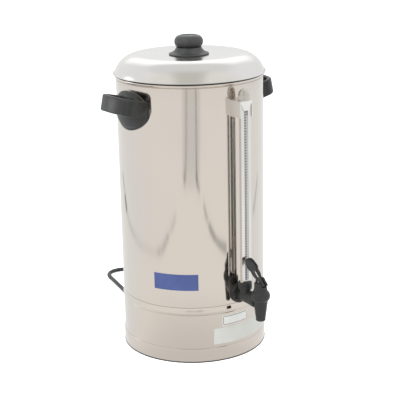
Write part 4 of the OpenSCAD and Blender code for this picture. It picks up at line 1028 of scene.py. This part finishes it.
    def skirt(self) -> None:
        """Spins the base skirt with its swage, groove, lower band and hem."""
        wall, foot, hem, band = self.body - self.sheet, self.skirt_foot, self.hem, self.band_proud
        half, cut = self.groove
        top, valley = self.seam - self.slack, self.seam - self.swage
        swage = []
        for i in range(self.swage_steps + 1):
            drop = 1 - i / self.swage_steps
            proud = self.swage_proud * math.sin(math.pi * drop ** self.swage_sag)
            swage.append((self.body + proud - self.swage_in, top + (valley + half - top) * drop))
        ledge, (under, over) = wall - self.shelf_width, self.shelf
        turn = (self.body - self.hem_in, foot + hem)
        outline = [
            (wall, top), *reversed(swage), (self.body - cut, valley), (self.body, valley - half),
            (self.body, self.skirt_bead),
            *arc((self.body, self.skirt_bead - band), band, 90, 0, self.band_steps),
            (self.body + band, foot + hem), *arc(turn, hem, 0, -180, self.roll_steps),
            (wall, foot + hem + 0.5), (wall, under), (ledge, under), (ledge, over), (wall, over),
        ]
        self.shell("skirt_shell", outline, MIRROR_STEEL, "urn", "base_skirt")

    def edging(self) -> None:
        """Spins the rubber edging under the hem."""
        low, high = self.edging_rise
        slope, tuck = self.edging_tuck
        proud, soft = self.body + self.edging_proud, self.edging_soft
        inner = self.body - self.sheet - tuck
        outline = [
            (inner, low), (proud - soft, low), (proud, low + soft), (proud, high - soft),
            (proud - soft, high), (inner, high - slope),
        ]
        self.shell("hem_edging", outline, BLACK_RUBBER, "urn")

    def lid(self) -> None:
        """Spins the lid."""
        t, roll, shoulder = self.lid_sheet, self.lid_roll, self.lid_shoulder
        edge = self.body + self.lid_overhang
        low, crest = self.rim + self.lid_gap, self.rim + self.lid_rise
        centre = (edge - roll + t / 2 - shoulder, crest - shoulder)
        start = math.degrees(math.asin((low + t - centre[1]) / shoulder)) + 1.0
        ring, depth = self.lid_plug
        outer = [
            (0.0, crest - self.lid_dish), *arc(centre, shoulder, 90, start, self.lid_steps),
            *arc((edge - roll, low + roll), roll, 70, -90, self.roll_steps),
        ]
        inner = [
            (ring, low), (ring, low - depth), (ring - t, low - depth), (ring - t, low + t),
            (edge - roll - 0.6, low + t), *arc(centre, shoulder - t, start, 90, self.lid_steps),
            (0.0, crest - self.lid_dish - t),
        ]
        self.shell("lid_shell", outer + inner, LID_STEEL, "lid_set", "lid")

    def build(self) -> None:
        """Builds the shells."""
        self.tank()
        self.skirt()
        self.edging()
        self.lid()
        log.info("steel shells built")


# ---------- labels


@dataclass(frozen=True)
class Sticker:
    """Blank sticker that follows the tank's wall. Sizes in millimetres.

    Attributes:
        name: The piece's name.
        start: First azimuth in degrees from the tap, turning towards the right handle.
        end: Last azimuth.
        low: Height of its lower edge.
        high: Height of its upper edge.
        finish: Its stock.
        wall: Radius of the wall behind it.
        thick: Thickness of the stock.
        gap: Air behind it.
        cuts: Cuts along its width, so that it bends.
        crease: Angle in degrees past which an edge stays sharp.
        print_thick: Thickness of what is printed on it, with print_gap under it and print_cuts along it.
        corner_steps: Steps in a printed corner.
        frame: Inset, width and corner radius of its printed frame, if any.
    """

    name: str
    start: float
    end: float
    low: float
    high: float
    finish: Finish
    wall: float = 110.0
    thick: float = 0.15
    gap: float = 0.03
    cuts: int = 24
    crease: float = 40.0
    print_thick: float = 0.04
    print_gap: float = 0.03
    print_cuts: int = 20
    corner_steps: int = 5
    frame: Point3 | None = None

    def wrap(self, bm: bmesh.types.BMesh, name: str, finish: Finish) -> None:
        """Bends a flat mesh round the wall and makes it a piece.

        Args:
            bm: The mesh: X along the wall from 0 to 1, Y up and Z out, in millimetres.
            name: The piece's name.
            finish: Its finish.
        """
        for vert in bm.verts:
            angle = math.radians(self.start + (self.end - self.start) * vert.co.x)
            radius = (self.wall + vert.co.z) * MM
            vert.co = (radius * math.sin(angle), -radius * math.cos(angle), vert.co.y * MM)
        bmesh.ops.recalc_face_normals(bm, faces=bm.faces)
        made = object_from(bm, name, self.crease)
        dress(made, finish)
        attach(made, "urn")

    def build(self) -> None:
        """Wraps a thin slab round the wall, and its frame over it."""
        bm = bmesh.new()
        bmesh.ops.create_cube(bm, size=1.0)
        level = [e for e in bm.edges if abs(e.verts[0].co.x - e.verts[1].co.x) > 0.5]
        bmesh.ops.subdivide_edges(bm, edges=level, cuts=self.cuts, use_grid_fill=True)
        high, middle = self.high - self.low, (self.high + self.low) / 2
        bmesh.ops.scale(bm, vec=(1.0, high, self.thick), verts=bm.verts)
        bmesh.ops.translate(bm, vec=(0.5, middle, self.gap + self.thick / 2), verts=bm.verts)
        self.wrap(bm, self.name, self.finish)
        if self.frame:
            self.outline(*self.frame)

    def outline(self, inset: float, width: float, corner: float) -> None:
        """Prints a thin frame with round corners on the sticker.

        Args:
            inset: Distance from the sticker's edge.
            width: Width of the line.
            corner: Radius of its corners.
        """
        span = math.radians(self.end - self.start) * self.wall
        bm = bmesh.new()
        bmesh.ops.create_grid(bm, x_segments=1, y_segments=1, size=0.5)
        size = (span - 2 * inset, self.high - self.low - 2 * inset, 1.0)
        bmesh.ops.scale(bm, vec=size, verts=bm.verts)
        bmesh.ops.bevel(
            bm, geom=list(bm.verts), offset=corner, offset_type="OFFSET", affect="VERTICES",
            segments=self.corner_steps, profile=0.5, material=-1,
        )
        middle = list(bm.faces)
        bmesh.ops.inset_region(bm, faces=middle, thickness=width, use_even_offset=True, use_boundary=True)
        bmesh.ops.delete(bm, geom=middle, context="FACES_ONLY")
        level = [e for e in bm.edges if abs(e.verts[0].co.x - e.verts[1].co.x) > size[0] / 2]
        bmesh.ops.subdivide_edges(bm, edges=level, cuts=self.print_cuts, use_grid_fill=True)
        bmesh.ops.solidify(bm, geom=list(bm.faces), thickness=self.print_thick)
        bmesh.ops.scale(bm, vec=(1 / span, 1.0, 1.0), verts=bm.verts)
        lift = self.gap + self.thick + self.print_gap
        bmesh.ops.translate(bm, vec=(0.5, (self.high + self.low) / 2, lift), verts=bm.verts)
        self.wrap(bm, f"{self.name}_frame", INK)


@dataclass
class Stickers:
    """The blank stickers.

    Attributes:
        stickers: The name plate, the framed notice and the notice under it.
    """

    stickers: tuple[Sticker, ...] = (
        Sticker("name_plate", -69.0, -33.5, 115.5, 140.5, BLUE_STOCK),
        Sticker("notice_small", -14.8, 9.2, 55.4, 71.4, WHITE_STOCK, thick=0.1, frame=(1.2, 0.8, 1.6)),
        Sticker("notice_large", -22.0, 33.0, 27.5, 53.0, GREY_STOCK, thick=0.1),
    )

    def build(self) -> None:
        """Places the stickers."""
        for sticker in self.stickers:
            sticker.build()
        log.info("%d stickers placed", len(self.stickers))


# ---------- sight gauge


@dataclass
class GaugeScale:
    """Narrow marked stripe down the front of the sight tube. Sizes in millimetres.

    Attributes:
        axis: Place of the tube's axis along Y.
        inner: Inside radius of the stripe.
        thick: Its thickness.
        centre: Azimuth of its middle, in degrees from the tap's side.
        spread: Angle that it covers.
        margin: Bare tube at each end.
        steps: Steps round its curve.
    """

    axis: float = -126.0
    inner: float = 3.53
    thick: float = 0.1
    centre: float = 5.0
    spread: float = 92.0
    margin: float = 16.0
    steps: int = 12

    def build(self) -> None:
        """Spins a thin upright slab round the tube's axis."""
        low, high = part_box("gauge_tube")
        bottom, top = low[2] / MM + self.margin, high[2] / MM - self.margin
        bm = bmesh.new()
        bmesh.ops.create_grid(bm, x_segments=1, y_segments=1, size=0.5)
        bmesh.ops.rotate(bm, cent=(0, 0, 0), matrix=Matrix.Rotation(math.pi / 2, 3, "X"), verts=bm.verts)
        bmesh.ops.scale(bm, vec=(self.thick, 1.0, top - bottom), verts=bm.verts)
        bmesh.ops.translate(bm, vec=(self.inner + self.thick / 2, 0.0, (top + bottom) / 2), verts=bm.verts)
        start = math.radians(self.centre - 90.0 - self.spread / 2)
        bmesh.ops.rotate(bm, cent=(0, 0, 0), matrix=Matrix.Rotation(start, 3, "Z"), verts=bm.verts)
        bmesh.ops.spin(
            bm, geom=[*bm.verts, *bm.edges, *bm.faces], cent=(0, 0, 0), axis=(0, 0, 1), dvec=(0, 0, 0),
            angle=math.radians(self.spread), steps=self.steps, use_duplicate=False,
        )
        bmesh.ops.translate(bm, vec=(0.0, self.axis, 0.0), verts=bm.verts)
        bmesh.ops.scale(bm, vec=(MM, MM, MM), verts=bm.verts)
        bmesh.ops.recalc_face_normals(bm, faces=bm.faces)
        made = object_from(bm, "gauge_scale")
        dress(made, LADDER)
        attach(made, "urn")
        log.info("sight gauge scale built")


# ---------- CAD nodes


@dataclass
class NodeDress:
    """Finishes for the CAD nodes that keep their shape.

    Attributes:
        stem_lift: Most that the valve stem rises, in metres.
        finishes: Nodes by finish, on smooth copies.
    """

    stem_lift: float = 0.00401
    finishes: dict[Finish, tuple[str, ...]] = field(default_factory=lambda: {
        BLACK_PLASTIC: (
            "handle_left", "handle_right", "gauge_nut", "tap_shank", "tap_body", "tap_bonnet", "tap_lever",
        ),
        KNOB_PLASTIC: ("lid_knob",),
        BLACK_RUBBER: ("rubber_foot", "shank_seal_outer", "gauge_grommet", "gauge_seal"),
        GREY_SILICONE: ("shank_seal_inner", "seat_cup", "knob_washer", "handle_washers"),
        GAUGE_STEEL: ("gauge_guard",),
        BRACKET_STEEL: ("gauge_bracket",),
        CAP_STEEL: ("gauge_cap",),
        BRIGHT_STEEL: (
            "bracket_screw", "bracket_nut", "handle_screws", "knob_screw", "valve_stem", "valve_spring",
            "lever_pin",
        ),
        PLATED_STEEL: ("base_plate", "tank_studs", "base_nuts", "clamp_nuts", "heater_clamp", "shank_nut"),
        INNER_STEEL: ("pump_tube", "coffee_basket", "basket_cover"),
        CAST_METAL: ("pump_heater",),
        HEATER_SHEATH: ("keep_warm_heater",),
        STAT_BODY: ("thermostat", "thermal_cutout"),
        BLOCK_IVORY: ("terminal_block",),
        BRASS: ("terminal_screws",),
        WIRE_SLEEVE: ("inner_wiring",),
        CLEAR_TUBE: ("gauge_tube",),
    })

    def shorten(self, spring: bpy.types.Object) -> None:
        """Gives the valve spring's copy a mesh of its own.

        Args:
            spring: The spring's copy.
        """
        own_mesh(spring)

    def build(self) -> None:
        """Dresses a smooth copy of each node."""
        for finish, nodes in self.finishes.items():
            for node in nodes:
                made = smooth_copy(node)
                dress(made, finish)
                if node == "valve_spring":
                    self.shorten(made)
        log.info("%d finishes on CAD nodes", len(self.finishes))


# ---------- making


def main() -> None:
    """Builds the studio and the urn."""
    logging.basicConfig(level=logging.INFO, format="%(message)s")
    Studio().build()
    MainsLead().build()
    Vessel().build()
    Stickers().build()
    GaugeScale().build()
    NodeDress().build()


if __name__ == "__main__":
    main()
